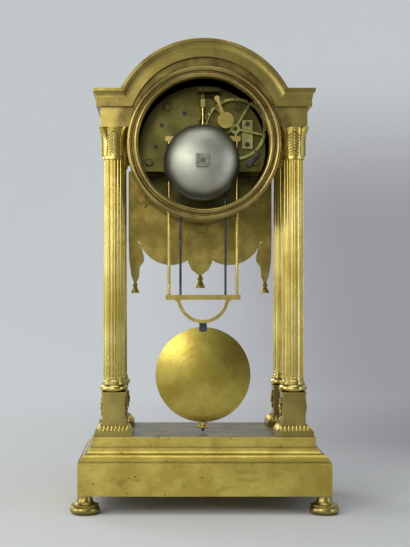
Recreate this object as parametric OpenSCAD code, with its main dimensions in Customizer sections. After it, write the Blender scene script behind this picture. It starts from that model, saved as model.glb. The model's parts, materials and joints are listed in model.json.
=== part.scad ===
// Portico clock: a gilt bronze temple of four fluted columns on a stepped plinth,
// with an arched entablature that carries a drum movement and a gridiron pendulum.
// Millimetres, +Z up, front towards -Y, origin on the table under the plinth's centre.

/* [Plinth] */
// Width of the plinth block
plinth_w = 245; // [236:1:270]
// Depth of the plinth block
plinth_d = 152; // [146:1:170]
// Height of the plinth block
plinth_h = 32; // [24:1:44]
// Wall of the plinth block and of the moulded cap
plinth_wall = 3; // [2:0.5:5]
// Height of the four feet
foot_h = 17.5; // [14:0.5:24]
// Largest radius of a foot
foot_r = 14.6; // [12:0.2:17]
// Foot centre, in from the edges of the block
foot_inset = 7; // [6:0.5:12]
// Radius of the stud on top of a foot
foot_stud_r = 2.5; // [2:0.1:3.5]
// Height of the lowest fillet of the moulded cap
cap_fillet_h = 3.5; // [2:0.5:6]
// Height of the cyma of the moulded cap
cap_cyma_h = 9.5; // [6:0.5:14]
// Height of the upright band of the moulded cap
cap_band_h = 10.5; // [7:0.5:16]
// Setback of the band behind the block
cap_setback = 14; // [12:0.5:16]

/* [Columns] */
// Gap between the drum and the columns' axes
column_gap = 16.1; // [15:0.1:24]
// Gap between the front and rear edges of the plinth top and a pedestal
plate_margin = 1.5; // [0.5:0.5:4]
// Side of a pedestal's base
pedestal_base = 37; // [33:0.5:39]
// Side of a pedestal's die
die_w = 22.6; // [20:0.2:25]
// Height of a pedestal's die
die_h = 30.2; // [24:0.2:38]
// Height of the turned rings under a shaft
ring_h = 11.4; // [9:0.2:14]
// Height of a shaft above its rings
shaft_h = 217.6; // [205:0.2:235]
// Radius at the foot of a shaft
shaft_r = 10.7; // [9.5:0.1:11.3]
// Radius at the neck of a shaft
neck_r = 10.2; // [9:0.1:10.6]
// Number of flutes round a shaft
flute_n = 20; // [16:1:22]
// Radius of the cutter that makes a flute
flute_r = 1.5; // [1.1:0.1:1.7]
// Height of a capital
capital_h = 31; // [26:0.5:36]
// Radius of a capital's body at its top
capital_r = 13; // [12.4:0.1:13.6]
// Reach of a capital's corner leaves from the column's axis
tip_r = 19; // [16:0.2:19.6]
// Radius of the iron tie rod in each column
tie_r = 2.5; // [2:0.1:3.5]
// Clearance round a tie rod or a stud
tie_gap = 0.2; // [0.1:0.05:0.5]

/* [Entablature] */
// Overhang of the frieze beyond a column's axis
frieze_over = 12.8; // [11:0.1:14]
// Height of the frieze
frieze_h = 19.5; // [16:0.5:24]
// Wall of the frieze and of the cornice
frieze_wall = 3; // [2:0.5:4]
// Height of the cornice
cornice_h = 17.5; // [15:0.5:20]
// Projection of the cornice's band
band_out = 4.1; // [2.5:0.1:5]
// Projection of the cornice's top fillet
cornice_out = 7.3; // [6:0.1:8]
// Margin of the arch's moulding beyond the drum
arch_over = 2.6; // [2.2:0.1:7]
// Height of the arch's centre below the top of the frieze
arch_drop = 26.5; // [22:0.5:32]

/* [Drum] */
// Outer radius of the drum
drum_r = 72.4; // [71:0.1:73]
// Wall of the drum
drum_wall = 2; // [1.5:0.1:2.4]
// Height of the dial's centre below the arch's centre
dial_drop = 9.5; // [8:0.5:11]
// Projection of the rear ring and of the bezel beyond the drum
ring_out = 3.2; // [2.4:0.1:3.6]
// Breadth of the rear ring
ring_w = 11.6; // [9.5:0.1:13.5]
// Clearance round the drum
drum_gap = 0.3; // [0.2:0.05:0.5]
// Margin of the dial inside the drum's wall
dial_margin = 4.4; // [3.4:0.1:8.4]
// Sagitta of the domed glass
glass_rise = 7; // [4:0.5:9]

/* [Movement] */
// Radius of the movement's plates
plate_r = 64; // [59:0.5:66]
// Thickness of the movement's plates
plate_t = 2.5; // [2:0.1:3]
// Rear face of the back plate, behind the columns' mid plane
back_y = 14; // [12:0.5:15]
// Gap between the two plates
plate_gap = 37.5; // [34:0.5:39]
// Flat of the plates below the dial's centre
plate_flat = 23; // [20:0.5:26]
// Radius of the bell's mouth
bell_r = 38; // [34:0.5:40]
// Depth of the bell
bell_h = 20; // [16:0.5:21]
// Radius of the count wheel
count_r = 31.5; // [29:0.5:32]
// Running clearance of a pivot in its hole
pivot_gap = 0.05; // [0.02:0.01:0.1]

/* [Pendulum] */
// Height of the suspension above the dial's centre
pivot_rise = 52.5; // [51:0.5:54]
// Gap between the bob and the plinth's top
bob_clear = 10.9; // [10:0.1:16]
// Radius of the bob
bob_r = 47.5; // [40:0.5:48]
// Thickness of the bob
bob_t = 13; // [9:0.5:16]
// Distance from the axis to an outer rod
outer_rod_x = 34; // [31:0.5:36]
// Distance from the axis to an inner rod
inner_rod_x = 22.5; // [20:0.5:24]
// Depth of the rod's block inside the bob's edge
block_in = 4.2; // [2:0.1:6]
// Swing to each side that the drum's slot leaves room for, in degrees
swing_deg = 4; // [2:0.5:5]

/* [Drapery] */
// Gap between the drapery's edge and the columns' axes
drape_side = 12.2; // [11.6:0.1:18]
// Thickness of the drapery's cast sheet
drape_t = 2.4; // [1.6:0.1:3.4]
// Overlap of the two swags at the middle
swag_lap = 4; // [2:0.5:5]

/* [Hidden] */
$fn = 64;
eps = 0.01;

// Steps of a sampled curve, and of a small round moulding
curve_n = 8;
bead_n = 12;

// Overrun of a cutter past the face that it opens
cut = 1;

// Heights of the stack, from the table up
block_z = foot_h;
cap_z = block_z + plinth_h;
plate_z = cap_z + cap_fillet_h + cap_cyma_h + cap_band_h;
pedestal_base_h = 5;
pedestal_flare_h = 6;
pedestal_fillet_h = 1.5;
die_z = plate_z + pedestal_base_h + pedestal_flare_h + pedestal_fillet_h;
ring_z = die_z + die_h;
shaft_z = ring_z + ring_h;
capital_z = shaft_z + shaft_h;
frieze_z = capital_z + capital_h;
cornice_z = frieze_z + frieze_h;
arch_z = cornice_z - arch_drop;
dial_z = arch_z - dial_drop;
pivot_z = dial_z + pivot_rise;
bob_z = plate_z + bob_clear + bob_r;

// Plan of the columns and of the frieze
top_y = plinth_d / 2 - cap_setback;
column_x = drum_r + column_gap;
column_y = top_y - plate_margin - pedestal_base / 2;
frieze_x = column_x + frieze_over;
frieze_y = column_y + frieze_over;
foot_x = plinth_w / 2 - foot_inset;
foot_y = plinth_d / 2 - foot_inset;
front_left = [-1, -1];
front_right = [1, -1];
rear_left = [-1, 1];
rear_right = [1, 1];
corners = [front_left, front_right, rear_left, rear_right];

// Feet and their lugs in the block
foot_neck_r = 6.9;
foot_sole_r = 11.5;
foot_torus_r = foot_h * 0.24;
foot_torus_end = 60;
foot_ridge_in = 1.4;
foot_ridge_r = foot_r - foot_ridge_in;
foot_ridge_step = 0.9;
foot_flare_z = foot_h * 0.53;
foot_stud_h = 7;
lug_side = 22;
lug_x = (plinth_w - lug_side) / 2;
lug_y = (plinth_d - lug_side) / 2;
lug_h = 9;
rim_w = 9;

// Setbacks of the moulded cap's steps behind the block
cap_fillet_in = 2.4;
cap_cyma_in = 3.2;
cap_cyma_out = 11.4;
cap_cyma_top = 1.3;
cap_step_z = cap_fillet_h + cap_cyma_h;

// Pedestal steps, in from the base's side
flare_in = 1;
fillet_in = 6.4;
flare_step = 0.6;
die_in = (pedestal_base - die_w) / 2;
die_cap_h = 2;
die_cap_out = 0.6;

// Applied mounts on the dies
mount_h = 18.5;
mount_t = 2;
mount_leaf_t = 1.2;
mount_waist = 3.1;
mount_lobe_z = 4.2;
mount_low_r = 4.4;
mount_high_r = 5.5;
mount_boss_r = 3.4;

// Turned rings under a shaft
torus_r = 3.65;
torus_h = 2 * torus_r;
ring_fillet_r = shaft_r + 1.2;
ring_fillet_h = 1.6;
ring_step_r = shaft_r + 0.7;
ring_chamfer = 0.8;
torus_in = 0.4;
flute_sink = 0.75;
flute_foot = 3;

// Capital: ring, bell-shaped body and leaves
capital_ring_h = 3.2;
capital_ring_r = neck_r + 1.1;
capital_waist_r = neck_r + 1;
flare_from = 0.45;
leaf_n = 4;
leaf_relief = 0.5;
leaf_w = 6.4;
corner_leaf_w = 2.6;
leaf_foot = 0.7;
leaf_turn = 150;
bead_r = 1.5;

// Tie rods and nuts
tie_over = 7;
nut_r = 4.5;
nut_h = 4;

// Cornice profile above the frieze
band_h = 8;
cavetto_out = band_out + 0.5;
cavetto_h = 6.4;
cavetto_step = 0.4;
roof_t = 2.5;
arch_r = drum_r + arch_over;
arch_top_r = arch_r + cornice_h;
cornice_profile = concat(
    [[band_out, 0], [band_out, band_h]],
    cavetto(cavetto_out, band_h, cornice_out - cavetto_step, band_h + cavetto_h),
    [[cornice_out, band_h + cavetto_h], [cornice_out, cornice_h]]);
reach = frieze_x + cornice_out + arch_top_r;

// Drum, front flange, ring and bezel, by their places along Y
flange_t = 3;
flange_out = 1.6;
flange_r = drum_r + flange_out;
ring_r = drum_r + ring_out;
ring_open_r = ring_r - ring_w;
flange_y = -frieze_y - flange_t;
drum_in_r = drum_r - drum_wall;
drum_rear_out = 2.6;
drum_rear_y = frieze_y + drum_rear_out;
ring_base_t = 2.2;
ring_groove = 1.2;
ring_bead_r = (ring_r - ring_open_r - ring_groove) / 4;
spigot_h = 4;
ledge_t = 2;
ledge_w = 4.4;
ledge_in_r = drum_in_r - ledge_w;
ledge_in = 5;
ledge_y = -frieze_y + ledge_in;
dial_plate_t = 2;
dial_plate_y = ledge_y - dial_plate_t;
dial_t = 1.5;
dial_r = drum_in_r - dial_margin;
dial_y = dial_plate_y - dial_t;
slot_margin = 2;
rod_y = 30;
slot_half_y = 4.5;

// Front bezel with its glass and hinge
bezel_gap = 0.2;
bezel_t = 8;
bezel_w = 11.1;
bezel_open_r = ring_r - bezel_w;
bezel_bead_r = bezel_w / 4;
bezel_back_y = flange_y - bezel_gap;
bezel_front_y = bezel_back_y - bezel_t;
glass_t = 1.5;
glass_lap = 3.5;
glass_r = bezel_open_r + glass_lap;
glass_edge = 1;
glass_seat = 2.2;
hinge_r = 2.4;
hinge_pin_r = 1.1;
hinge_gap = 0.5;
hinge_sink = 0.3;
hinge_x = ring_r + hinge_r + hinge_gap;
hinge_y = flange_y - hinge_r + hinge_sink;
hinge_h = 18;
hinge_leaf_t = 2;
hinge_lap = 3;
hinge_pin_over = 1;
hinge_split = 0.3;

// Drapery and its screws
drape_front = 5;
drape_y = -column_y - drape_front;
drape_drop = 2;
drape_top = capital_z - drape_drop;
drape_w = column_x - drape_side;
tail_w = 14.3;
swag_x = (drape_w - tail_w) / 2;
swag_r = swag_x + swag_lap;
swag_drop = 8.9;
swag_z = dial_z - drum_r - swag_drop;
swag_band = 10;
drape_gap = 0.4;

// Folds of a swag, from its lower edge inwards
fold_n = 3;
fold_r = 2.2;
fold_out = 1.5;
fold_pitch = 8.25;
fold_lift = 12;
fold_start = 205;
fold_sweep = 130;

// Tails, as offsets from a tail's axis and drops below the swags' centres
tail_in = 7;
side_tail = [[7, 0], [6.4, 30], [4, 47], [1.2, 54], [-1.2, 54], [-4, 48], [-5, 37], [-9.5, 31],
    [-9.5, 26], [-6.5, 14]];
mid_tail = [[14, 10], [12.5, 33], [9, 40], [1.2, 46]];
side_pleat_in = 5;
side_pleat_drop = 44;
side_pleat_h = 60;
side_pleat_r = [1.2, 2.6];
mid_pleat_x = 5;
mid_pleat_drop = 38;
mid_pleat_h = 34;
mid_pleat_r = [2.2, 1.2];

// Tassels: heights, laps over the tails and a profile in shares of the height
side_tassel_h = 13;
side_tassel_drop = 52;
mid_tassel_h = 15;
mid_tassel_drop = 44.5;
tassel_profile = [[0, 0], [0.36, 0], [0.3, 0.2], [0.15, 0.5], [0.22, 0.68], [0.13, 0.86], [0, 1]];

// Lugs of the drum and screws of the drapery
lug_w = 12;
lug_t = 3;
lug_drop = 9;
lug_angle = 52;
screw_r = 1.6;
screw_head_r = 3;
screw_head_h = 1.9;
screw_nut_h = 2.4;
screw_over = 1;

// Movement, by places along Y
front_y = back_y - plate_t - plate_gap;
plate_front_y = front_y - plate_t;
pillar_r = 3.2;
pillar_tip_r = 1.6;
pillar_waist_r = 2.4;
pillar_band_h = 4;
pillar_taper_h = 2;
pillar_at = [[-36, 42], [36, 42], [-54, -14], [54, -14]];
pillar_nut_r = 3.4;
pillar_nut_h = 2.4;
dial_pillar_at = [[-44, 30], [44, 30], [-50, -4], [50, -4]];
dial_pillar_r = 2.6;
pivot_r = 0.9;
pivot_short = 0.2;
shoulder_gap = 0.4;

// Motion work in front of the front plate
gear_center = 12.5;
cannon_teeth = 12;
minute_teeth = 36;
pinion_teeth = 10;
hour_teeth = 40;
cannon_m = 2 * gear_center / (cannon_teeth + minute_teeth);
hour_m = 2 * gear_center / (pinion_teeth + hour_teeth);
gear_backlash = 0.14;
gear_pressure = 20;
gear_addendum = 0.6;
gear_dedendum = 0.85;
gear_t = 2.2;
gear_gap = 1;
arbor_r = 1.3;
cannon_r = 1.9;
hour_pipe_r = 2.9;
hour_seat_r = 2.5;
cannon_y = plate_front_y - gear_gap - gear_t;
hour_gear_y = cannon_y - gear_gap - gear_t;
minute_z = dial_z + gear_center;
dial_hole_r = 3.6;

// Hands in front of the dial
hand_t = 0.9;
hand_lift = 2.6;
hand_pitch = 2.2;
hour_hand_y = dial_y - hand_lift;
minute_hand_y = hour_hand_y - hand_pitch;
hour_hand_short = 26;
minute_hand_short = 9;
hour_hub_r = 4.6;
hour_stem_w = 1.3;
hour_moon_r = 3.6;
hour_moon_in = 11.2;
minute_hub_r = 4;
minute_stem_w = 1.1;
minute_moon_r = 3.2;
minute_moon_in = 13.1;
moon_wall = 1.2;
moon_rise = 0.7;
hand_nut_r = 2.6;
hand_nut_top_r = 1.6;
hand_nut_h = 2.2;
arbor_over = 0.4;

// Barrels and winding squares
barrel_x = 27;
barrel_drop = 6;
barrel_z = dial_z - barrel_drop;
barrel_r = 21;
barrel_h = 24;
barrel_play = 3;
great_r = 23;
great_teeth = 60;
great_t = 2.5;
winding_r = 2.4;
winding_side = 3.6;
winding_gap = 0.5;
winding_hole_r = 5;

// Escapement
escape_r = 13;
escape_teeth = 30;
escape_drop = 24;
escape_z = pivot_z - escape_drop;
escape_t = 1.6;
escape_y = -8;
escape_tooth_h = 3;
escape_hole_n = 4;
escape_hole_at = 5.2;
escape_hole_r = 2.8;
escape_arbor_r = 1.6;
pallet_gap = 1.6;
pallet_angle = 40;
pallet_out = 3;
pallet_in = 2.2;
pallet_h = 2.6;
pallet_rise = 3.2;
pallet_arbor_r = 1.5;
anchor_t = 3;
anchor_lap = 0.7;
anchor_hub_r = 3;
anchor_half = 2.7;
crutch_lift = 8;
crutch_y = back_y + crutch_lift;
crutch_drop = 26;
crutch_w = 4.5;
crutch_t = 1.6;
fork_gap = 0.35;
fork_w = 1.4;
fork_h = 5;
fork_over = 1;

// Suspension
cock_x = -17;
cock_w = 13;
cock_t = 4;
cock_drop = 1;
cock_over = 2;
cock_screw_r = 2.2;
cock_screw_z = 1.2;
cock_screw_h = 1.4;
cock_lift = 2.6;
cock_h = 4;
chop_w = 6;
chop_t = 4.4;
chop_h = 7;
chop_drop = 6;
spring_t = 0.3;
spring_w = 5;
spring_lap = 1;
slit_gap = 0.45;

// Strike work behind the back plate
strikes = 12;
count_clear = 0.57;
count_angle = 149.4;
count_reach = drum_in_r - count_r - count_clear;
count_x = count_reach * cos(count_angle);
count_z = dial_z + count_reach * sin(count_angle);
count_t = 1.6;
count_lift = 5;
count_y = back_y + count_lift;
count_collar_r = 3.4;
count_play = 0.3;
post_over = 0.6;
count_rim = 3;
count_hub_r = 5;
count_spokes = 5;
count_spoke_w = 2.2;
count_spoke_turn = 48;
count_post_r = 2;
notch_w = 1.9;
notch_h = 1.8;
count_phase = 20;
detent_left = 14;
detent_drop = 35.5;
detent_x = count_x - detent_left;
detent_z = count_z - detent_drop;
detent_angle = 222;
detent_gap = 0.4;
detent_out = 5;
detent_turn = 6;
detent_half = 1.5;
detent_hub_r = 3;
detent_post_r = 1.5;
strike_screw_r = 2.4;
strike_screw_h = 1.2;
strike_screw_in = 4;
strike_cock_left = 12.5;
strike_cock_drop = 19.5;
strike_cock_x = count_x - strike_cock_left;
strike_cock_z = count_z - strike_cock_drop;
strike_cock_w = 11;
strike_cock_h = 29;
strike_cock_t = 2.6;
hammer_x = -13.5;
hammer_drop = 5.5;
hammer_z = pivot_z - hammer_drop;
hammer_head_x = -22;
hammer_head_rise = 24.8;
hammer_head_z = dial_z + hammer_head_rise;
hammer_head_r = 8;
hammer_head_h = 6;
hammer_head_in = 1;
hammer_lift = 9;
hammer_y = rod_y + hammer_lift;
hammer_hub_r = 2.6;
hammer_arbor_r = 1.4;
hammer_arm_w = 3;
hammer_arm_t = 2.2;

// Bell on its stand
bell_x = 1.5;
bell_drop = 16.3;
bell_z = dial_z - bell_drop;
bell_wall = 1.6;
bell_lift = 6;
bell_y = rod_y + bell_lift;
bell_seat_r = 7;
stand_r = 3;
stand_foot_r = 5.5;
stand_foot_h = 2.5;
stand_taper_h = 1.5;
stand_collar = 1.5;
bell_stud_r = 1.8;
bell_stud_over = 1;
bell_nut_side = 12.5;
bell_nut_h = 3.4;

// Pendulum
hanger_r = 1.7;
hanger_drop = 42;
grid_bar_h = 5;
grid_bar_t = 4;
grid_end = 2;
outer_rod_r = 1.5;
inner_rod_r = 1.2;
rod_fit = 0.02;
rod_in = 3;
bow_r = 26;
bow_w = 3.4;
block_w = 7.5;
block_h = 8;
block_t = 6;
block_gap = 0.3;
bow_fair_r = 5;
bob_rod_r = 1.5;
bob_fit = 0.05;
bob_edge_t = 2.4;
rating_gap = 0.05;
rating_nut_r = 6.5;
rating_collar_r = 3.4;
rating_rim_h = 3.4;
rating_nut_h = 6;
rod_tip = 9;
top_bar_z = pivot_z - hanger_drop - grid_bar_h;
block_z0 = bob_z + bob_r - block_in;
bow_z = block_z0 + block_h + bow_r;
low_bar_z = bow_z - grid_bar_h / 2;
bob_low = bob_z - bob_r;

gilt = "#b09a45";
gilt_dark = "#8d7a36";
brass = "#8f8a45";
steel = "#4a4d58";
bell_grey = "#8d918c";

// Points of an S-shaped cyma from one setback and height to another
function cyma(s0, z0, s1, z1) = [for (i = [0:curve_n])
    let (t = i / curve_n) [s0 + (s1 - s0) * t, z0 + (z1 - z0) * (t + sin(360 * t) / (2 * PI) * 0.7)]];

// Points of a hollow quarter curve from one pair to another, flat at its start
function cavetto(a0, b0, a1, b1) = [for (i = [0:curve_n])
    let (t = 90 * i / curve_n) [a0 + (a1 - a0) * (1 - cos(t)), b0 + (b1 - b0) * sin(t)]];

// Points of an arc
function arc(cx, cy, r, a0, a1, n = curve_n) = [for (i = [0:n])
    let (a = a0 + (a1 - a0) * i / n) [cx + r * cos(a), cy + r * sin(a)]];

// Outline made whole by its mirror image in the second axis
function mirrored(points) = concat(points,
    [for (i = [len(points) - 1:-1:0]) if (abs(points[i][0]) > eps) [-points[i][0], points[i][1]]]);

// Flat shape in the XZ plane, given a thickness along Y
module slab(y0, y1) {
    translate([0, y1, 0]) rotate([90, 0, 0]) linear_extrude(y1 - y0) children();
}

// Profile of radius and Y, turned about an axis along Y
module turned(x, z) {
    translate([x, 0, z]) rotate([-90, 0, 0]) rotate_extrude() children();
}

// Straight pin along Y
module pin(x, z, r, y0, y1) {
    translate([x, y0, z]) rotate([-90, 0, 0]) cylinder(r = r, h = y1 - y0);
}

// Block whose four sides follow one profile of setback and height, mitred at the corners
module moulded(w, d, profile) {
    intersection() {
        rotate([90, 0, 0]) linear_extrude(d, center = true)
            polygon(mirrored([for (p = profile) [w / 2 - p[0], p[1]]]));
        rotate([90, 0, 90]) linear_extrude(w, center = true)
            polygon(mirrored([for (p = profile) [d / 2 - p[0], p[1]]]));
    }
}

// Foot: a torus under a ridge and a flared neck, with a stud into the block
module foot(at) {
    color(gilt) translate([at[0] * foot_x, at[1] * foot_y, 0]) {
        rotate_extrude() polygon(concat(
            [[0, foot_h]],
            cavetto(foot_neck_r, foot_h, foot_ridge_r - foot_ridge_step, foot_flare_z),
            [[foot_ridge_r, foot_flare_z], [foot_ridge_r, foot_torus_r * (1 + sin(foot_torus_end))]],
            arc(foot_r - foot_torus_r, foot_torus_r, foot_torus_r, foot_torus_end, -foot_torus_end),
            [[foot_sole_r, 0], [0, 0]]));
        cylinder(r = foot_stud_r, h = foot_h + foot_stud_h);
    }
}

// Plinth block, open underneath, with a rim for the cap and a lug for each foot
module plinth_block() {
    color(gilt) difference() {
        translate([0, 0, block_z]) difference() {
            translate([-plinth_w / 2, -plinth_d / 2, 0]) cube([plinth_w, plinth_d, plinth_h]);
            difference() {
                block_hollow(plinth_wall, -eps, plinth_h - plinth_wall);
                for (at = corners)
                    translate([at[0] * lug_x, at[1] * lug_y, lug_h / 2])
                        cube([lug_side, lug_side, lug_h], center = true);
            }
            block_hollow(plinth_wall + rim_w, lug_h, plinth_h + eps);
        }
        for (at = corners)
            translate([at[0] * foot_x, at[1] * foot_y, block_z - eps])
                cylinder(r = foot_stud_r + tie_gap, h = foot_stud_h + tie_gap);
    }
}

// Square hollow, in from the block's sides
module block_hollow(inset, z0, z1) {
    translate([inset - plinth_w / 2, inset - plinth_d / 2, z0])
        cube([plinth_w - 2 * inset, plinth_d - 2 * inset, z1 - z0]);
}

// Setbacks and heights of the moulded cap, moved in and down by its wall for the hollow
function cap_profile(inset, drop) = concat(
    [[cap_fillet_in + inset, -drop], [cap_fillet_in + inset, cap_fillet_h - drop]],
    cyma(cap_cyma_in + inset, cap_fillet_h - drop, cap_cyma_out + inset, cap_step_z - cap_cyma_top - drop),
    [[cap_cyma_out + inset, cap_step_z - drop],
     [cap_setback + inset, cap_step_z - drop],
     [cap_setback + inset, plate_z - cap_z - drop]]);

// Moulded cap of the plinth, hollow underneath, with the columns' bolt holes
module plinth_cap() {
    color(gilt) difference() {
        translate([0, 0, cap_z]) difference() {
            moulded(plinth_w, plinth_d, cap_profile(0, 0));
            moulded(plinth_w, plinth_d, cap_profile(plinth_wall, plinth_wall));
        }
        for (at = corners)
            translate([at[0] * column_x, at[1] * column_y, cap_z]) cylinder(r = tie_r + tie_gap, h = plate_z);
    }
}

// Pedestal: base, flared band, fillet, die and its narrow cap
module pedestal(at) {
    flare_top = pedestal_base_h + pedestal_flare_h;
    top = ring_z - plate_z;
    color(gilt) translate([at[0] * column_x, at[1] * column_y, plate_z]) difference() {
        moulded(pedestal_base, pedestal_base, concat(
            [[0, 0], [0, pedestal_base_h]],
            cyma(flare_in, pedestal_base_h, fillet_in - flare_step, flare_top),
            [[fillet_in, flare_top], [fillet_in, flare_top + pedestal_fillet_h],
             [die_in, flare_top + pedestal_fillet_h], [die_in, top - die_cap_h],
             [die_in - die_cap_out, top - die_cap_h], [die_in - die_cap_out, top]]));
        translate([0, 0, -eps]) cylinder(r = tie_r + tie_gap, h = top + 2 * eps);
    }
}

// Cast ornament applied to one face of a die
module mount() {
    rotate([90, 0, 0]) {
        linear_extrude(mount_leaf_t) polygon(mirrored(concat(
            [[0, -mount_h / 2]],
            arc(0, -mount_lobe_z, mount_low_r, -60, 20),
            [[mount_waist, 0]],
            arc(0, mount_lobe_z, mount_high_r, -20, 60),
            [[0, mount_h / 2]])));
        cylinder(r = mount_boss_r, h = mount_t);
    }
}

// Mounts on the outer and inner faces of every die, and on the front of the front ones
module pedestal_mounts() {
    mid_z = die_z + die_h / 2;
    color(gilt_dark) for (at = corners) translate([at[0] * column_x, at[1] * column_y, mid_z]) {
        rotate([0, 0, 90]) translate([0, -die_w / 2, 0]) mount();
        rotate([0, 0, -90]) translate([0, -die_w / 2, 0]) mount();
        if (at[1] < 0) translate([0, -die_w / 2, 0]) mount();
    }
}

// Fluted shaft with its turned rings
module column(at) {
    taper = atan((shaft_r - neck_r) / shaft_h);
    color(gilt) translate([at[0] * column_x, at[1] * column_y, ring_z]) difference() {
        rotate_extrude() polygon(concat(
            [[0, 0]],
            arc(shaft_r - torus_in, torus_r, torus_r, -90, 90, bead_n),
            [[ring_fillet_r, torus_h], [ring_fillet_r, torus_h + ring_fillet_h],
             [ring_step_r, torus_h + ring_fillet_h], [ring_step_r, ring_h - ring_chamfer],
             [shaft_r, ring_h], [neck_r, ring_h + shaft_h], [0, ring_h + shaft_h]]));
        for (i = [0:flute_n - 1]) rotate([0, 0, 360 * i / flute_n])
            translate([shaft_r + flute_sink, 0, ring_h + flute_foot]) rotate([0, -taper, 0]) {
                sphere(r = flute_r);
                cylinder(r = flute_r, h = shaft_h);
            }
        translate([0, 0, -eps]) cylinder(r = tie_r + tie_gap, h = ring_h + shaft_h + 2 * eps);
    }
}

// Half outline of a capital: straight above its ring, then flaring to a radius at the top
function capital_curve(waist_r, top_r) = concat(
    [[0, capital_ring_h / 2], [waist_r, capital_ring_h / 2]],
    [for (i = [0:curve_n]) let (t = i / curve_n)
        [waist_r + (top_r - waist_r) * pow(t, 2), capital_h * (flare_from + (1 - flare_from) * t)]],
    [[0, capital_h]]);

// Upright leaf outline, rounded in to a blunt tip
module leaf_outline(w) {
    polygon(mirrored([for (i = [0:curve_n]) let (t = i / curve_n)
        [w * (leaf_foot + (1 - leaf_foot) * sin(leaf_turn * t)),
         capital_ring_h + (capital_h - capital_ring_h) * t]]));
}

// Leaves round a capital, raised over its body
module leaves(waist_r, top_r, w, turn) {
    intersection() {
        rotate_extrude() polygon(capital_curve(waist_r, top_r));
        for (i = [0:leaf_n - 1]) rotate([90, 0, turn + 360 * i / leaf_n])
            linear_extrude(2 * tip_r) leaf_outline(w);
    }
}

// Palm capital: ring, bell-shaped body, four face leaves, four corner leaves and beads
module capital(at) {
    color(gilt) translate([at[0] * column_x, at[1] * column_y, capital_z]) difference() {
        union() {
            cylinder(r = capital_ring_r, h = capital_ring_h);
            rotate_extrude() polygon(capital_curve(capital_waist_r, capital_r));
            leaves(capital_waist_r + leaf_relief, capital_r + leaf_relief, leaf_w, 0);
            leaves(capital_waist_r + 2 * leaf_relief, tip_r, corner_leaf_w, 180 / leaf_n);
            for (i = [0:leaf_n - 1]) rotate([0, 0, 360 * i / leaf_n])
                translate([0, capital_r + leaf_relief, capital_h - 2 * bead_r]) sphere(r = bead_r);
        }
        translate([0, 0, -eps]) cylinder(r = tie_r + tie_gap, h = capital_h + 2 * eps);
    }
}

// Tie rods through the columns, with a square nut at each end
module tie_rods() {
    low_z = plate_z - plinth_wall;
    high_z = frieze_z + frieze_wall;
    color(steel) for (at = corners) translate([at[0] * column_x, at[1] * column_y, 0]) {
        translate([0, 0, low_z - tie_over]) cylinder(r = tie_r, h = high_z - low_z + 2 * tie_over);
        for (z = [low_z - nut_h, high_z])
            translate([0, 0, z]) difference() {
                translate([-nut_r, -nut_r, 0]) cube([2 * nut_r, 2 * nut_r, nut_h]);
                translate([0, 0, -eps]) cylinder(r = tie_r + rod_fit, h = nut_h + 2 * eps);
            }
    }
}

// Everything as deep as the moulding is at each height over the frieze
module depth_by_height() {
    rotate([90, 0, 90]) linear_extrude(2 * reach, center = true) polygon(mirrored(concat(
        [[frieze_y, frieze_z], [frieze_y, cornice_z]],
        [for (p = cornice_profile) [frieze_y + p[0], cornice_z + p[1]]],
        [[frieze_y + cornice_out, cornice_z + arch_top_r]])));
}

// Everything as deep as the moulding is at each radius of the arch
module depth_by_radius() {
    half = concat(
        [[arch_r, frieze_y]],
        [for (p = cornice_profile) [arch_r + p[1], frieze_y + p[0]]],
        [[2 * reach, frieze_y + cornice_out]]);
    turned(0, arch_z) polygon(concat(
        [[0, frieze_y]], half,
        [for (i = [len(half) - 1:-1:0]) [half[i][0], -half[i][1]]], [[0, -frieze_y]]));
}

// Front outline of the entablature up to a level of the cornice
module entablature_outline(level) {
    polygon(mirrored(concat(
        [[frieze_x, frieze_z], [frieze_x, cornice_z]],
        [for (p = cornice_profile) if (p[1] <= level) [frieze_x + p[0], cornice_z + p[1]]])));
    intersection() {
        translate([0, arch_z]) circle(r = arch_r + level);
        translate([-reach, frieze_z]) square([2 * reach, reach]);
    }
}

// Front outline of the frieze and the arch's field, moved in by a wall for the hollow
module frieze_outline(inset) {
    translate([inset - frieze_x, frieze_z + inset]) square([2 * (frieze_x - inset), frieze_h - 2 * inset]);
    intersection() {
        translate([0, arch_z]) circle(r = arch_r - inset);
        translate([-reach, frieze_z + inset]) square([2 * reach, reach]);
    }
}

// Frieze: a hollow box under the cornice with the flat field of the arch
module frieze() {
    color(gilt) difference() {
        slab(-frieze_y, frieze_y) frieze_outline(0);
        slab(frieze_wall - frieze_y, frieze_y - frieze_wall) frieze_outline(frieze_wall);
        pin(0, dial_z, drum_r + drum_gap, -2 * frieze_y, 2 * frieze_y);
        for (at = corners)
            translate([at[0] * column_x, at[1] * column_y, frieze_z - eps])
                cylinder(r = tie_r + tie_gap, h = frieze_wall + 2 * eps);
    }
}

// Cornice: one moulding that runs level, over the arch and level again, with the roof
module cornice() {
    color(gilt) difference() {
        intersection() {
            depth_by_height();
            depth_by_radius();
            slab(-2 * frieze_y, 2 * frieze_y) entablature_outline(cornice_h);
        }
        slab(-2 * frieze_y, 2 * frieze_y) frieze_outline(0);
        slab(roof_t - frieze_y, frieze_y - roof_t) roof_hollow();
    }
}

// Hollow under the roof
module roof_hollow() {
    translate([frieze_wall - frieze_x, frieze_z])
        square([2 * (frieze_x - frieze_wall), frieze_h + cornice_h - roof_t]);
    translate([0, arch_z]) circle(r = arch_top_r - roof_t);
}

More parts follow.
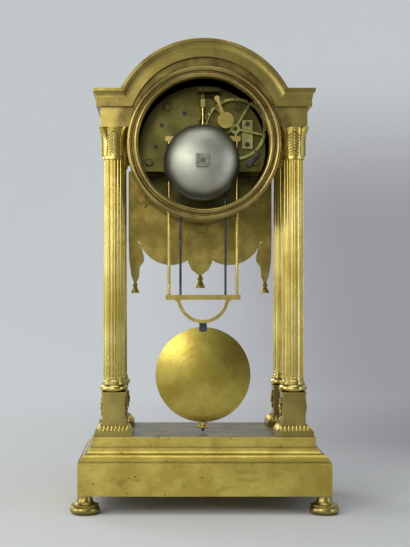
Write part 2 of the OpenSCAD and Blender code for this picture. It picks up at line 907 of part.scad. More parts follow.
// Drum with its front flange, the dial's ledge, the pendulum's slot and the lugs
module drum() {
    swing = (pivot_z - dial_z + drum_r) * tan(swing_deg);
    slot_x = outer_rod_x + outer_rod_r + swing + slot_margin;
    color(gilt_dark) difference() {
        union() {
            turned(0, dial_z) polygon([
                [drum_in_r, flange_y], [flange_r, flange_y], [flange_r, -frieze_y], [drum_r, -frieze_y],
                [drum_r, drum_rear_y], [drum_in_r, drum_rear_y], [drum_in_r, ledge_y + ledge_t],
                [ledge_in_r, ledge_y + ledge_t], [ledge_in_r, ledge_y], [drum_in_r, ledge_y]]);
            for (a = [-lug_angle, 0, lug_angle]) translate([0, 0, dial_z]) rotate([0, a, 0])
                translate([-lug_w / 2, drape_y + drape_t, -drum_r - lug_drop])
                    cube([lug_w, lug_t, lug_drop + drum_wall / 2]);
            hinge_leaf(-hinge_h / 2, -hinge_h / 6 - hinge_split / 2);
            hinge_leaf(hinge_h / 6 + hinge_split / 2, hinge_h / 2);
        }
        translate([-slot_x, rod_y - slot_half_y, dial_z - 2 * drum_r])
            cube([2 * slot_x, 2 * slot_half_y, 2 * drum_r - inner_rod_x]);
        for (a = [-lug_angle, 0, lug_angle]) translate([0, 0, dial_z]) rotate([0, a, 0])
            pin(0, -drum_r - lug_drop / 2, screw_r + tie_gap, drape_y, drape_y + 4 * lug_t);
        translate([hinge_x, hinge_y, dial_z - hinge_h]) cylinder(r = hinge_pin_r + rod_fit, h = 2 * hinge_h);
    }
}

// Knuckle and leaf of the bezel's hinge on the drum's flange
module hinge_leaf(z0, z1) {
    translate([hinge_x, hinge_y, dial_z + z0]) cylinder(r = hinge_r, h = z1 - z0);
    translate([ring_r + bezel_gap, hinge_y, dial_z + z0])
        cube([hinge_x - ring_r - bezel_gap, flange_y + hinge_leaf_t - hinge_y, z1 - z0]);
    translate([flange_r - hinge_leaf_t, flange_y, dial_z + z0])
        cube([hinge_x - flange_r + hinge_leaf_t, hinge_leaf_t, z1 - z0]);
}

// Rear ring of two beads, with a spigot inside the drum
module rear_ring() {
    face_y = drum_rear_y + ring_base_t;
    spigot_r = drum_in_r - drum_gap;
    color(gilt) turned(0, dial_z) polygon(concat(
        [[ring_open_r, drum_rear_y - spigot_h], [spigot_r, drum_rear_y - spigot_h], [spigot_r, drum_rear_y],
         [ring_r, drum_rear_y]],
        arc(ring_r - ring_bead_r, face_y, ring_bead_r, 0, 180, bead_n),
        arc(ring_open_r + ring_bead_r, face_y, ring_bead_r, 0, 180, bead_n)));
}

// Outline of the drapery: two swags, a middle tail and two side tails round the drum
module drapery_outline() {
    difference() {
        union() {
            translate([-drape_w, swag_z - swag_band])
                square([2 * drape_w, drape_top - swag_z + swag_band]);
            for (s = [-1, 1]) {
                translate([s * swag_x, swag_z]) circle(r = swag_r);
                polygon([for (p = side_tail) [s * (drape_w - tail_in + p[0]), swag_z - p[1]]]);
            }
            polygon(mirrored([for (p = mid_tail) [p[0], swag_z - p[1]]]));
        }
        translate([0, dial_z]) circle(r = drum_r + drape_gap);
    }
}

// Turned tassel that hangs from a point
module tassel(x, z, h) {
    translate([x, drape_y + drape_t / 2, z - h]) rotate_extrude()
        polygon([for (p = tassel_profile) h * p]);
}

// Fold of a swag: part of a ring with a round back
module swag_fold(s, r) {
    translate([s * swag_x, drape_y, swag_z + fold_lift]) rotate([90, 0, 0]) rotate([0, 0, fold_start])
        rotate_extrude(angle = fold_sweep) translate([r, 0]) intersection() {
            circle(r = fold_r);
            translate([-fold_r, 0]) square([2 * fold_r, fold_r]);
        }
}

// Upright pleat of a tail
module pleat(x, drop, h, r) {
    translate([x, drape_y, swag_z - drop]) cylinder(r1 = r[0], r2 = r[1], h = h);
}

// Drapery: cast sheet with its folds, pleats and tassels, bored for its screws
module drapery() {
    color(gilt_dark) difference() {
        union() {
            slab(drape_y, drape_y + drape_t) drapery_outline();
            for (s = [-1, 1]) {
                for (k = [0:fold_n - 1]) swag_fold(s, swag_r + fold_out - k * fold_pitch);
                pleat(s * (drape_w - side_pleat_in), side_pleat_drop, side_pleat_h, side_pleat_r);
                tassel(s * (drape_w - tail_in), swag_z - side_tassel_drop, side_tassel_h);
            }
            for (k = [-1:1]) pleat(k * mid_pleat_x, mid_pleat_drop, mid_pleat_h, mid_pleat_r);
            tassel(0, swag_z - mid_tassel_drop, mid_tassel_h);
        }
        for (a = [-lug_angle, 0, lug_angle]) translate([0, 0, dial_z]) rotate([0, a, 0])
            pin(0, -drum_r - lug_drop / 2, screw_r + tie_gap, drape_y - 3 * lug_t, drape_y + 2 * lug_t);
    }
}

// Screws through the drapery into the drum's lugs, with square nuts behind
module drapery_screws() {
    nut_y = drape_y + drape_t + lug_t;
    color(steel) for (a = [-lug_angle, 0, lug_angle]) translate([0, 0, dial_z]) rotate([0, a, 0])
        translate([0, 0, -drum_r - lug_drop / 2]) {
            pin(0, 0, screw_r, drape_y - screw_head_h / 2, nut_y + screw_nut_h + screw_over);
            pin(0, 0, screw_head_r, drape_y - screw_head_h, drape_y);
            translate([-screw_head_r, nut_y, -screw_head_r])
                cube([2 * screw_head_r, screw_nut_h, 2 * screw_head_r]);
        }
}

// Front bezel ring with the glass's rebate and its hinge knuckle
module bezel() {
    knuckle = hinge_h / 3 - hinge_split;
    bead_y = bezel_front_y + bezel_bead_r;
    color(gilt) difference() {
        union() {
            turned(0, dial_z) polygon(concat(
                [[ring_r, bezel_back_y]],
                arc(ring_r - bezel_bead_r, bead_y, bezel_bead_r, 0, -175, bead_n),
                arc(bezel_open_r + bezel_bead_r, bead_y, bezel_bead_r, -5, -180, bead_n),
                [[bezel_open_r, bezel_back_y - glass_seat], [glass_r + rod_fit, bezel_back_y - glass_seat],
                 [glass_r + rod_fit, bezel_back_y]]));
            translate([hinge_x, hinge_y, dial_z - knuckle / 2]) cylinder(r = hinge_r, h = knuckle);
            translate([ring_r - hinge_lap, hinge_y - hinge_r, dial_z - knuckle / 2])
                cube([hinge_x - ring_r + hinge_lap, hinge_r, knuckle]);
        }
        translate([hinge_x, hinge_y, dial_z - hinge_h])
            cylinder(r = hinge_pin_r + pivot_gap, h = 2 * hinge_h);
    }
}

// Domed glass with a flat rim
module bezel_glass() {
    seat_y = bezel_back_y - glass_seat + bezel_gap;
    dome_r = bezel_open_r - glass_edge;
    ball = (pow(dome_r, 2) + pow(glass_rise, 2)) / (2 * glass_rise);
    half = asin(dome_r / ball);
    mid_y = seat_y - glass_rise + ball;
    color("lightblue", 0.3) turned(0, dial_z) polygon(concat(
        [for (i = [0:curve_n]) let (a = half * i / curve_n) [ball * sin(a), mid_y - ball * cos(a)]],
        [[glass_r, seat_y], [glass_r, seat_y + glass_t]],
        [for (i = [curve_n:-1:0]) let (a = half * i / curve_n)
            [(ball - glass_t) * sin(a), mid_y - (ball - glass_t) * cos(a)]]));
}

// Pin of the bezel's hinge
module bezel_hinge_pin() {
    color(brass) translate([hinge_x, hinge_y, dial_z - hinge_h / 2 - hinge_pin_over])
        cylinder(r = hinge_pin_r, h = hinge_h + 2 * hinge_pin_over);
}

// Brass plate behind the dial, on the drum's ledge
module dial_plate() {
    color(brass) difference() {
        pin(0, dial_z, drum_in_r - drum_gap, dial_plate_y, ledge_y);
        dial_holes();
    }
}

// Holes through the dial and its plate for the hands and the winding squares
module dial_holes() {
    pin(0, dial_z, dial_hole_r, dial_y - cut, ledge_y + cut);
    for (s = [-1, 1]) pin(s * barrel_x, barrel_z, winding_hole_r, dial_y - cut, ledge_y + cut);
}

// Enamel dial
module dial() {
    color("ivory") difference() {
        pin(0, dial_z, dial_r, dial_y, dial_plate_y);
        dial_holes();
    }
}

// Outline of a hand: a tapered stem, a hollow moon and a pointed tip
module hand_outline(hub_r, w, moon_r, moon_z, len) {
    circle(r = hub_r);
    polygon(mirrored([[w, 0], [w / 2, moon_z - moon_r + w]]));
    translate([0, moon_z]) difference() {
        circle(r = moon_r);
        translate([0, moon_rise]) circle(r = moon_r - moon_wall);
    }
    polygon(mirrored([[w, moon_z + moon_r - w / 3], [0, len]]));
}

// Hour hand on the hour wheel's pipe
module hour_hand() {
    len = dial_r - hour_hand_short;
    color(steel) slab(hour_hand_y, hour_hand_y + hand_t) translate([0, dial_z]) difference() {
        hand_outline(hour_hub_r, hour_stem_w, hour_moon_r, len - hour_moon_in, len);
        circle(r = hour_seat_r + rod_fit);
    }
}

// Minute hand on the centre arbor
module minute_hand() {
    len = dial_r - minute_hand_short;
    color(steel) slab(minute_hand_y, minute_hand_y + hand_t) translate([0, dial_z]) difference() {
        hand_outline(minute_hub_r, minute_stem_w, minute_moon_r, len - minute_moon_in, len);
        circle(r = arbor_r + rod_fit);
    }
}

// Nut that holds the minute hand
module hand_nut() {
    color(brass) difference() {
        turned(0, dial_z) polygon([[0, minute_hand_y], [hand_nut_r, minute_hand_y],
            [hand_nut_r, minute_hand_y - hand_nut_h / 2], [hand_nut_top_r, minute_hand_y - hand_nut_h],
            [0, minute_hand_y - hand_nut_h]]);
        pin(0, dial_z, arbor_r + rod_fit, minute_hand_y - 2 * hand_nut_h, minute_hand_y + cut);
    }
}

// Outline of a movement plate: a disc with a flat below
module plate_outline() {
    translate([0, dial_z]) intersection() {
        circle(r = plate_r);
        translate([-plate_r, -plate_flat]) square([2 * plate_r, plate_r + plate_flat]);
    }
}

// Holes that both plates share
module pivot_holes(y0, y1) {
    for (p = pillar_at) pin(p[0], dial_z + p[1], pillar_tip_r + rod_fit, y0, y1);
    for (s = [-1, 1]) pin(s * barrel_x, barrel_z, winding_r + pivot_gap, y0, y1);
    pin(0, escape_z, pivot_r + pivot_gap, y0, y1);
    pin(0, pivot_z, pivot_r + pivot_gap, y0, y1);
    pin(hammer_x, hammer_z, hammer_arbor_r + pivot_gap, y0, y1);
    pin(0, dial_z, arbor_r + pivot_gap, y0, y1);
}

// Front plate with the stud of the minute wheel
module front_plate() {
    color(brass) {
        difference() {
            slab(plate_front_y, front_y) plate_outline();
            pivot_holes(plate_front_y - cut, front_y + cut);
        }
        pin(0, minute_z, arbor_r, hour_gear_y - post_over, plate_front_y);
    }
}

// Back plate with the posts of the count wheel and its detent
module back_plate() {
    post_y = count_y + count_t + post_over;
    color(brass) {
        difference() {
            slab(back_y - plate_t, back_y) plate_outline();
            pivot_holes(back_y - plate_t - cut, back_y + cut);
        }
        turned(count_x, count_z) polygon([[0, back_y], [count_collar_r, back_y],
            [count_collar_r, count_y - count_play], [count_post_r, count_y - count_play],
            [count_post_r, post_y], [0, post_y]]);
        pin(detent_x, detent_z, detent_post_r, back_y, post_y);
    }
}

// Turned pillars between the plates with their nuts, and plain ones in front for the dial plate
module pillars() {
    low_y = back_y - plate_t;
    color(brass) {
        for (p = pillar_at) turned(p[0], dial_z + p[1]) polygon([
            [0, plate_front_y], [pillar_tip_r, plate_front_y], [pillar_tip_r, front_y],
            [pillar_r, front_y], [pillar_r, front_y + pillar_band_h],
            [pillar_waist_r, front_y + pillar_band_h + pillar_taper_h],
            [pillar_waist_r, low_y - pillar_band_h - pillar_taper_h],
            [pillar_r, low_y - pillar_band_h], [pillar_r, low_y],
            [pillar_tip_r, low_y], [pillar_tip_r, back_y],
            [pillar_nut_r, back_y], [pillar_nut_r, back_y + pillar_nut_h], [0, back_y + pillar_nut_h]]);
        for (p = dial_pillar_at) pin(p[0], dial_z + p[1], dial_pillar_r, ledge_y, plate_front_y);
    }
}

// Involute function of a radius over the base circle, in degrees
function involute(rb, r) = let (t = sqrt(max(0, pow(r / rb, 2) - 1))) t * 180 / PI - atan(t);

// Involute gear outline with a tooth centred on +X when the phase is nought
module gear_outline(n, m, phase, steps = 4) {
    rp = n * m / 2;
    rb = rp * cos(gear_pressure);
    tip = rp + gear_addendum * m;
    root = rp - gear_dedendum * m;
    low = max(rb, root);
    half = 90 / n - gear_backlash / 4 / rp * 180 / PI;
    base = half + involute(rb, rp);
    flank = [for (i = [0:steps]) let (r = low + (tip - low) * i / steps) [r, base - involute(rb, r)]];
    tooth = concat(
        root < low ? [[root, -base]] : [],
        [for (f = flank) [f[0], -f[1]]],
        [for (i = [steps:-1:0]) flank[i]],
        root < low ? [[root, base]] : []);
    polygon([for (k = [0:n - 1]) each [for (q = tooth)
        let (a = q[1] + phase + 360 * k / n) [q[0] * cos(a), q[0] * sin(a)]]]);
}

// Centre arbor with the cannon pinion and the pipe that the minute hand sits on
module center_arbor() {
    color(brass) {
        pin(0, dial_z, arbor_r, minute_hand_y - hand_nut_h - arbor_over, back_y);
        pin(0, dial_z, cannon_r, minute_hand_y + hand_t, cannon_y + gear_t);
        slab(cannon_y, cannon_y + gear_t) translate([0, dial_z]) gear_outline(cannon_teeth, cannon_m, 0);
    }
}

// Minute wheel and its pinion, on the front plate's stud
module minute_wheel() {
    color(brass) difference() {
        union() {
            slab(cannon_y, cannon_y + gear_t) translate([0, minute_z])
                gear_outline(minute_teeth, cannon_m, 180 / minute_teeth);
            slab(hour_gear_y, cannon_y + gear_t / 2) translate([0, minute_z])
                gear_outline(pinion_teeth, hour_m, 0);
        }
        pin(0, minute_z, arbor_r + pivot_gap, hour_gear_y - cut, cannon_y + 2 * gear_t);
    }
}

// Hour wheel with the pipe that the hour hand sits on
module hour_wheel() {
    color(brass) difference() {
        union() {
            slab(hour_gear_y, hour_gear_y + gear_t) translate([0, dial_z])
                gear_outline(hour_teeth, hour_m, 0);
            pin(0, dial_z, hour_pipe_r, hour_hand_y + hand_t, hour_gear_y + gear_t);
            pin(0, dial_z, hour_seat_r, hour_hand_y, hour_gear_y);
        }
        pin(0, dial_z, cannon_r + pivot_gap, hour_hand_y - cut, hour_gear_y + 2 * gear_t);
    }
}

// Spring barrel with its great wheel and winding square
module barrel(s) {
    barrel_y = front_y + barrel_play;
    color(brass) {
        pin(s * barrel_x, barrel_z, winding_r, plate_front_y - 2 * winding_gap, back_y);
        pin(s * barrel_x, barrel_z, barrel_r, barrel_y + great_t, barrel_y + barrel_h);
        slab(barrel_y, barrel_y + great_t) translate([s * barrel_x, barrel_z])
            gear_outline(great_teeth, 2 * great_r / great_teeth, 0, 1);
        slab(dial_y + winding_gap, plate_front_y - winding_gap)
            translate([s * barrel_x, barrel_z]) square(winding_side, center = true);
    }
}

// Escape wheel of pointed teeth on its arbor
module escape_wheel() {
    rim = escape_r - escape_tooth_h;
    color(brass) {
        slab(escape_y, escape_y + escape_t) translate([0, escape_z]) difference() {
            polygon([for (k = [0:escape_teeth - 1]) each
                let (a = 360 * k / escape_teeth, b = 180 / escape_teeth)
                [[escape_r * cos(a), escape_r * sin(a)], [rim * cos(a + b / 2), rim * sin(a + b / 2)]]]);
            for (k = [0:escape_hole_n - 1]) rotate(360 * k / escape_hole_n)
                translate([escape_hole_at, 0]) circle(r = escape_hole_r);
        }
        pin(0, escape_z, escape_arbor_r, front_y + shoulder_gap, back_y - plate_t - shoulder_gap);
        pin(0, escape_z, pivot_r, plate_front_y + pivot_short, back_y - pivot_short);
    }
}

// Anchor on the pallet arbor, with the crutch and the fork that drives the pendulum
module anchor() {
    tip = escape_r + pallet_gap;
    tip_x = tip * sin(pallet_angle);
    tip_z = escape_z + tip * cos(pallet_angle);
    fork_x = hanger_r + fork_gap;
    foot_z = pivot_z - crutch_drop;
    color(brass) {
        slab(escape_y - anchor_lap, escape_y - anchor_lap + anchor_t) {
            translate([0, pivot_z]) circle(r = anchor_hub_r);
            for (s = [-1, 1]) polygon([
                [0, pivot_z + anchor_half], [s * (tip_x + pallet_out), tip_z + pallet_h], [s * tip_x, tip_z],
                [s * (tip_x - pallet_in), tip_z + pallet_rise], [0, pivot_z - anchor_half]]);
        }
        pin(0, pivot_z, pallet_arbor_r, front_y + shoulder_gap, back_y - plate_t - shoulder_gap);
        pin(0, pivot_z, pivot_r, plate_front_y + pivot_short, crutch_y + crutch_t);
        slab(crutch_y, crutch_y + crutch_t) {
            translate([0, pivot_z]) circle(r = crutch_w / 2);
            translate([-crutch_w / 2, foot_z]) square([crutch_w, crutch_drop]);
            translate([-fork_x - fork_w, foot_z]) square([2 * (fork_x + fork_w), fork_h]);
        }
        for (s = [-1, 1]) translate([s * (fork_x + fork_w / 2) - fork_w / 2, crutch_y, foot_z])
            cube([fork_w, rod_y + hanger_r + fork_over - crutch_y, fork_h]);
    }
}

// Cock on the back plate that holds the suspension spring in a slit
module suspension_cock() {
    slit = spring_t + 2 * slit_gap;
    color(brass) difference() {
        union() {
            translate([cock_x, back_y, pivot_z - cock_drop])
                cube([cock_w, cock_t, cock_h + cock_lift + cock_drop]);
            translate([cock_x, back_y, pivot_z + cock_lift])
                cube([cock_w, rod_y + chop_w / 2 - back_y, cock_h]);
            translate([cock_x, rod_y - chop_w, pivot_z + cock_lift])
                cube([chop_w / 2 + cock_over - cock_x, 1.5 * chop_w, cock_h]);
            pin(cock_x + cock_w / 2, pivot_z + cock_screw_z, cock_screw_r,
                back_y, back_y + cock_t + cock_screw_h);
        }
        translate([-slit / 2, rod_y - spring_w / 2 - slit_gap, pivot_z + cock_lift - cut])
            cube([slit, 2 * chop_w, cock_h + 2 * cut]);
    }
}

// Suspension spring with its lower chop
module suspension_spring() {
    color(steel) {
        translate([-spring_t / 2, rod_y - spring_w / 2, pivot_z - chop_drop])
            cube([spring_t, spring_w, chop_drop + cock_lift + cock_h - spring_lap]);
        translate([-chop_t / 2, rod_y - chop_w / 2, pivot_z - chop_drop - chop_h])
            cube([chop_t, chop_w, chop_h + spring_lap]);
    }
}

// Count wheel: notched rim, spokes and hub
module count_wheel() {
    total = strikes * (strikes + 1) / 2;
    color(brass) slab(count_y, count_y + count_t) translate([count_x, count_z]) difference() {
        union() {
            difference() {
                circle(r = count_r);
                circle(r = count_r - count_rim);
            }
            for (k = [0:count_spokes - 1]) rotate(count_spoke_turn + 360 * k / count_spokes)
                translate([0, -count_spoke_w / 2]) square([count_r - count_rim / 2, count_spoke_w]);
            circle(r = count_hub_r);
        }
        for (h = [1:strikes]) rotate(count_phase + 360 * h * (h + 1) / 2 / total)
            translate([count_r - notch_h, -notch_w / 2]) square([count_rim, notch_w]);
        circle(r = count_post_r + pivot_gap);
    }
}

// Detent that drops into the count wheel's notches
module count_detent() {
    tip_r = count_r + detent_gap;
    tip_x = count_x + tip_r * cos(detent_angle);
    tip_z = count_z + tip_r * sin(detent_angle);
    out_x = count_x + (tip_r + detent_out) * cos(detent_angle + detent_turn);
    out_z = count_z + (tip_r + detent_out) * sin(detent_angle + detent_turn);
    color(steel) difference() {
        slab(count_y, count_y + count_t) {
            translate([detent_x, detent_z]) circle(r = detent_hub_r);
            polygon([[tip_x, tip_z], [out_x - detent_half, out_z + detent_half],
                [detent_x - detent_half, detent_z - detent_half],
                [detent_x + detent_half, detent_z + detent_half],
                [out_x + detent_half, out_z + detent_half]]);
        }
        pin(detent_x, detent_z, detent_post_r + pivot_gap, back_y, count_y + 3 * count_t);
    }
}

// Cock for the strike train's arbor, with its screws
module strike_cock() {
    color(brass) {
        slab(back_y, back_y + strike_cock_t) translate([strike_cock_x - strike_cock_w / 2, strike_cock_z])
            square([strike_cock_w, strike_cock_h]);
        for (z = [strike_screw_in, strike_cock_h - strike_screw_in])
            pin(strike_cock_x, strike_cock_z + z, strike_screw_r,
                back_y, back_y + strike_cock_t + strike_screw_h);
    }
}

// Hammer: arbor through the plates, arm and brass head
module hammer() {
    run = [hammer_head_x - hammer_x, hammer_head_z - hammer_z];
    side = [-run[1], run[0]] / norm(run) * hammer_arm_w / 2;
    a = [hammer_x, hammer_z];
    b = [hammer_head_x, hammer_head_z];
    head_y = hammer_y - hammer_head_in;
    color(brass) {
        pin(hammer_x, hammer_z, hammer_arbor_r, plate_front_y + pivot_short, hammer_y + hammer_arm_t);
        slab(hammer_y, hammer_y + hammer_arm_t) {
            translate(a) circle(r = hammer_hub_r);
            polygon([a + side, b + side, b - side, a - side]);
        }
        pin(hammer_head_x, hammer_head_z, hammer_head_r, head_y, head_y + hammer_head_h);
    }
}

// Stand of the bell: foot, stem, shoulder and stud
module bell_stand() {
    foot_y = back_y + stand_foot_h;
    seat_y = bell_y + bell_h - bell_wall;
    stud_y = bell_y + bell_h + bell_nut_h + bell_stud_over;
    color(brass) turned(bell_x, bell_z) polygon([
        [0, back_y], [stand_foot_r, back_y], [stand_foot_r, foot_y], [stand_r, foot_y + stand_taper_h],
        [stand_r, seat_y - stand_collar], [stand_r + stand_collar, seat_y - stand_collar],
        [stand_r + stand_collar, seat_y], [bell_stud_r, seat_y], [bell_stud_r, stud_y], [0, stud_y]]);
}

// Bell, open towards the plates, flat where it sits on its stand
module bell() {
    n = 2 * curve_n;
    flat = asin(bell_seat_r / bell_r);
    color(bell_grey) turned(bell_x, bell_z) polygon(concat(
        [for (i = [0:n]) let (a = (90 - flat) * i / n)
            [bell_r * cos(a), bell_y + bell_h * sin(a) / sin(90 - flat)]],
        [[bell_stud_r + pivot_gap, bell_y + bell_h], [bell_stud_r + pivot_gap, bell_y + bell_h - bell_wall]],
        [for (i = [n:-1:0]) let (a = (90 - flat) * i / n)
            [(bell_r - bell_wall) * cos(a), bell_y + (bell_h - bell_wall) * sin(a) / sin(90 - flat)]]));
}

// Square nut of the bell
module bell_nut() {
    nut_y = bell_y + bell_h;
    color(steel) difference() {
        translate([bell_x - bell_nut_side / 2, nut_y, bell_z - bell_nut_side / 2])
            cube([bell_nut_side, bell_nut_h, bell_nut_side]);
        pin(bell_x, bell_z, bell_stud_r + rod_fit, nut_y - cut, nut_y + 2 * bell_nut_h);
    }
}

// Hanger rod and upper bar of the gridiron
module pendulum_hanger() {
    color(brass) {
        translate([0, rod_y, top_bar_z + grid_bar_h / 2])
            cylinder(r = hanger_r, h = pivot_z - chop_drop - chop_h - top_bar_z - grid_bar_h / 2);
        difference() {
            grid_bar(top_bar_z);
            rod_set(outer_rod_x, outer_rod_r + rod_fit, top_bar_z - cut, top_bar_z + rod_in);
            rod_set(inner_rod_x, inner_rod_r + rod_fit, top_bar_z - cut, top_bar_z + rod_in);
        }
    }
}

// Cross bar of the gridiron
module grid_bar(z) {
    half = outer_rod_x + outer_rod_r + grid_end;
    translate([-half, rod_y - grid_bar_t / 2, z]) cube([2 * half, grid_bar_t, grid_bar_h]);
}

// Pair of upright rods
module rod_set(x, r, z0, z1) {
    for (s = [-1, 1]) translate([s * x, rod_y, z0]) cylinder(r = r, h = z1 - z0);
}

// Outer pair of rods
module outer_rods() {
    color(gilt) rod_set(outer_rod_x, outer_rod_r, low_bar_z + grid_bar_h - rod_in, top_bar_z + rod_in);
}

// Inner pair of rods
module inner_rods() {
    color(steel) rod_set(inner_rod_x, inner_rod_r, low_bar_z + grid_bar_h - rod_in, top_bar_z + rod_in);
}

// Half ring of the bow, faired into the bar at both ends
module bow_outline() {
    fair_x = sqrt(pow(bow_r + bow_fair_r, 2) - pow(grid_bar_h / 2 + bow_fair_r, 2));
    fair_z = -grid_bar_h / 2 - bow_fair_r;
    touch = bow_r / (bow_r + bow_fair_r);
    difference() {
        intersection() {
            circle(r = bow_r);
            translate([-bow_r, -bow_r]) square([2 * bow_r, bow_r]);
        }
        circle(r = bow_r - bow_w);
    }
    for (s = [-1, 1]) difference() {
        polygon([[s * (bow_r - bow_w / 2), 0], [s * fair_x, 0], [s * fair_x, fair_z],
            [s * fair_x * touch, fair_z * touch], [s * (bow_r - bow_w / 2), fair_z * touch]]);
        translate([s * fair_x, fair_z]) circle(r = bow_fair_r);
    }
}

// Lower bar of the gridiron with the bow under it
module pendulum_bow() {
    top_z = low_bar_z + grid_bar_h;
    color(gilt) difference() {
        union() {
            grid_bar(low_bar_z);
            slab(rod_y - grid_bar_t / 2, rod_y + grid_bar_t / 2) translate([0, bow_z]) bow_outline();
        }
        rod_set(outer_rod_x, outer_rod_r + rod_fit, top_z - rod_in, top_z + cut);
        rod_set(inner_rod_x, inner_rod_r + rod_fit, top_z - rod_in, top_z + cut);
    }
}

// Block of the bob's rod, grown by a clearance
module rod_block(gap) {
    translate([-block_w / 2 - gap, rod_y - block_t / 2 - gap, block_z0 - gap])
        cube([block_w + 2 * gap, block_t + 2 * gap, block_h + gap]);
}

// Steel block under the bow with the rod that carries the bob
module bob_rod() {
    color(steel) {
        rod_block(0);
        translate([0, rod_y, bob_low - rod_tip])
            cylinder(r = bob_rod_r, h = block_z0 + block_h / 2 - bob_low + rod_tip);
    }
}

// Lens-shaped bob, bored for its rod
module bob() {
    edge = bob_edge_t / 2;
    rise = bob_t / 2 - edge;
    ball = (pow(bob_r, 2) + pow(rise, 2)) / (2 * rise);
    half = asin(bob_r / ball);
    face = [for (i = [0:curve_n]) let (a = half * i / curve_n)
        [ball * sin(a), edge + rise - ball + ball * cos(a)]];
    color(gilt) difference() {
        turned(0, bob_z) polygon(concat(
            [for (f = face) [f[0], rod_y + f[1]]],
            [for (i = [curve_n:-1:0]) [face[i][0], rod_y - face[i][1]]]));
        translate([0, rod_y, bob_low - cut]) cylinder(r = bob_rod_r + bob_fit, h = 2 * (bob_r + cut));
        rod_block(block_gap);
    }
}

// Rating nut under the bob: a collar over a wide rim
module rating_nut() {
    color(gilt) translate([0, rod_y, bob_low - rating_nut_h - rating_gap]) difference() {
        rotate_extrude() polygon([
            [0, 0], [rating_collar_r, 0], [rating_nut_r, rating_rim_h / 3],
            [rating_nut_r, rating_rim_h * 2 / 3], [rating_collar_r, rating_rim_h],
            [rating_collar_r, rating_nut_h], [0, rating_nut_h]]);
        translate([0, 0, -cut]) cylinder(r = bob_rod_r + pivot_gap, h = rating_nut_h + 2 * cut);
    }
}

foot(front_left);  // foot_front_left
foot(front_right);  // foot_front_right
foot(rear_left);  // foot_rear_left
foot(rear_right);  // foot_rear_right
pedestal(front_left);  // pedestal_front_left
pedestal(front_right);  // pedestal_front_right
pedestal(rear_left);  // pedestal_rear_left
pedestal(rear_right);  // pedestal_rear_right
column(front_left);  // column_front_left
column(front_right);  // column_front_right
column(rear_left);  // column_rear_left
column(rear_right);  // column_rear_right
capital(front_left);  // capital_front_left
capital(front_right);  // capital_front_right
capital(rear_left);  // capital_rear_left
capital(rear_right);  // capital_rear_right
plinth_block();
plinth_cap();
pedestal_mounts();
tie_rods();
frieze();
cornice();
drum();
rear_ring();
drapery();
drapery_screws();
bezel();
bezel_glass();
bezel_hinge_pin();
dial_plate();
dial();
hour_hand();
minute_hand();
hand_nut();
front_plate();
back_plate();
pillars();
center_arbor();
minute_wheel();
hour_wheel();
escape_wheel();
anchor();
suspension_cock();
suspension_spring();
count_wheel();
count_detent();
strike_cock();
hammer();
bell_stand();
bell();
bell_nut();
pendulum_hanger();
outer_rods();
inner_rods();
pendulum_bow();
bob_rod();
bob();
rating_nut();
barrel(1);  // going_barrel
barrel(-1);  // strike_barrel
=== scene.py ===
"""Looks of the portico clock: finishes, fine ornament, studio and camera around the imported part."""

import json
import logging
import math
from dataclasses import dataclass
from enum import Enum
from typing import Callable, Iterable, Sequence

import bmesh
import bpy
from mathutils import Matrix, Vector


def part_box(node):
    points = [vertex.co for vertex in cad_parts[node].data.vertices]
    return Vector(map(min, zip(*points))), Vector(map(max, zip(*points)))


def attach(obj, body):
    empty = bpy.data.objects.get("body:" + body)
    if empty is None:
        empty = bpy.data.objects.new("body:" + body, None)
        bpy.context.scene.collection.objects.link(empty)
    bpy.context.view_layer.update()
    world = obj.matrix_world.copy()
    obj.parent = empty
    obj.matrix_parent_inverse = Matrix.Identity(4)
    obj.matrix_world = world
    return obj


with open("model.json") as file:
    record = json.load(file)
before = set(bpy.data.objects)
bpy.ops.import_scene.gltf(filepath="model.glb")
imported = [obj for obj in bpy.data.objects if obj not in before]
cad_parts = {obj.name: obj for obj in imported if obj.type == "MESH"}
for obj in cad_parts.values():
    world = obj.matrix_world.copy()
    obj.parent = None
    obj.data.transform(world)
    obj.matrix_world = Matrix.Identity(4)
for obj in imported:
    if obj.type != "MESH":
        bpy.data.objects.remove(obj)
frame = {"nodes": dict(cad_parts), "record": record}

LOG = logging.getLogger("portico_clock")
MM = 0.001
CASE = "case"
CORNERS = ("front_left", "front_right", "rear_left", "rear_right")
FULL_TURN = 2 * math.pi
FLAT = Matrix.Identity(3)
SMOOTH = "SMOOTHSTEP"
# sockets of a colour mix: the share of the second colour, and the two colours
SHARE, FIRST, SECOND = 0, 6, 7
Node = bpy.types.Node
Socket = bpy.types.NodeSocket
Material = bpy.types.Material
Value = float | Sequence[float] | Socket | Node
Bend = Callable[[Vector], Vector]
Geom = bmesh.types.BMVert | bmesh.types.BMEdge


class Slot(str, Enum):
    """Material slots of the record."""

    GILT = "gilt_bronze"
    BRASS = "clock_brass"
    STEEL = "dark_steel"
    BELL = "bell_metal"
    ENAMEL = "enamel"
    GLASS = "glass"


def linear(code: str) -> tuple[float, float, float, float]:
    """Linear colour of an sRGB hex code.

    Args:
        code: six hex digits after a hash.
    Returns:
        Red, green, blue and an alpha of one.
    """
    parts = [int(code[i : i + 2], 16) / 255 for i in (1, 3, 5)]
    red, green, blue = (p / 12.92 if p <= 0.04045 else ((p + 0.055) / 1.055) ** 2.4 for p in parts)
    return red, green, blue, 1.0


def drum_height() -> float:
    """Height of the drum's axis."""
    low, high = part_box("dial")
    return (low.z + high.z) / 2


def middle(node: str) -> Vector:
    """Centre of a CAD node's box at its foot."""
    low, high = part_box(node)
    return Vector(((low.x + high.x) / 2, (low.y + high.y) / 2, low.z))


def placed(scale: Sequence[float], turn: Matrix, at: Sequence[float]) -> Matrix:
    """Scale, then turn, then shift as one matrix."""
    return Matrix.Translation(Vector(at)) @ turn.to_4x4() @ Matrix.Diagonal((*scale, 1.0))


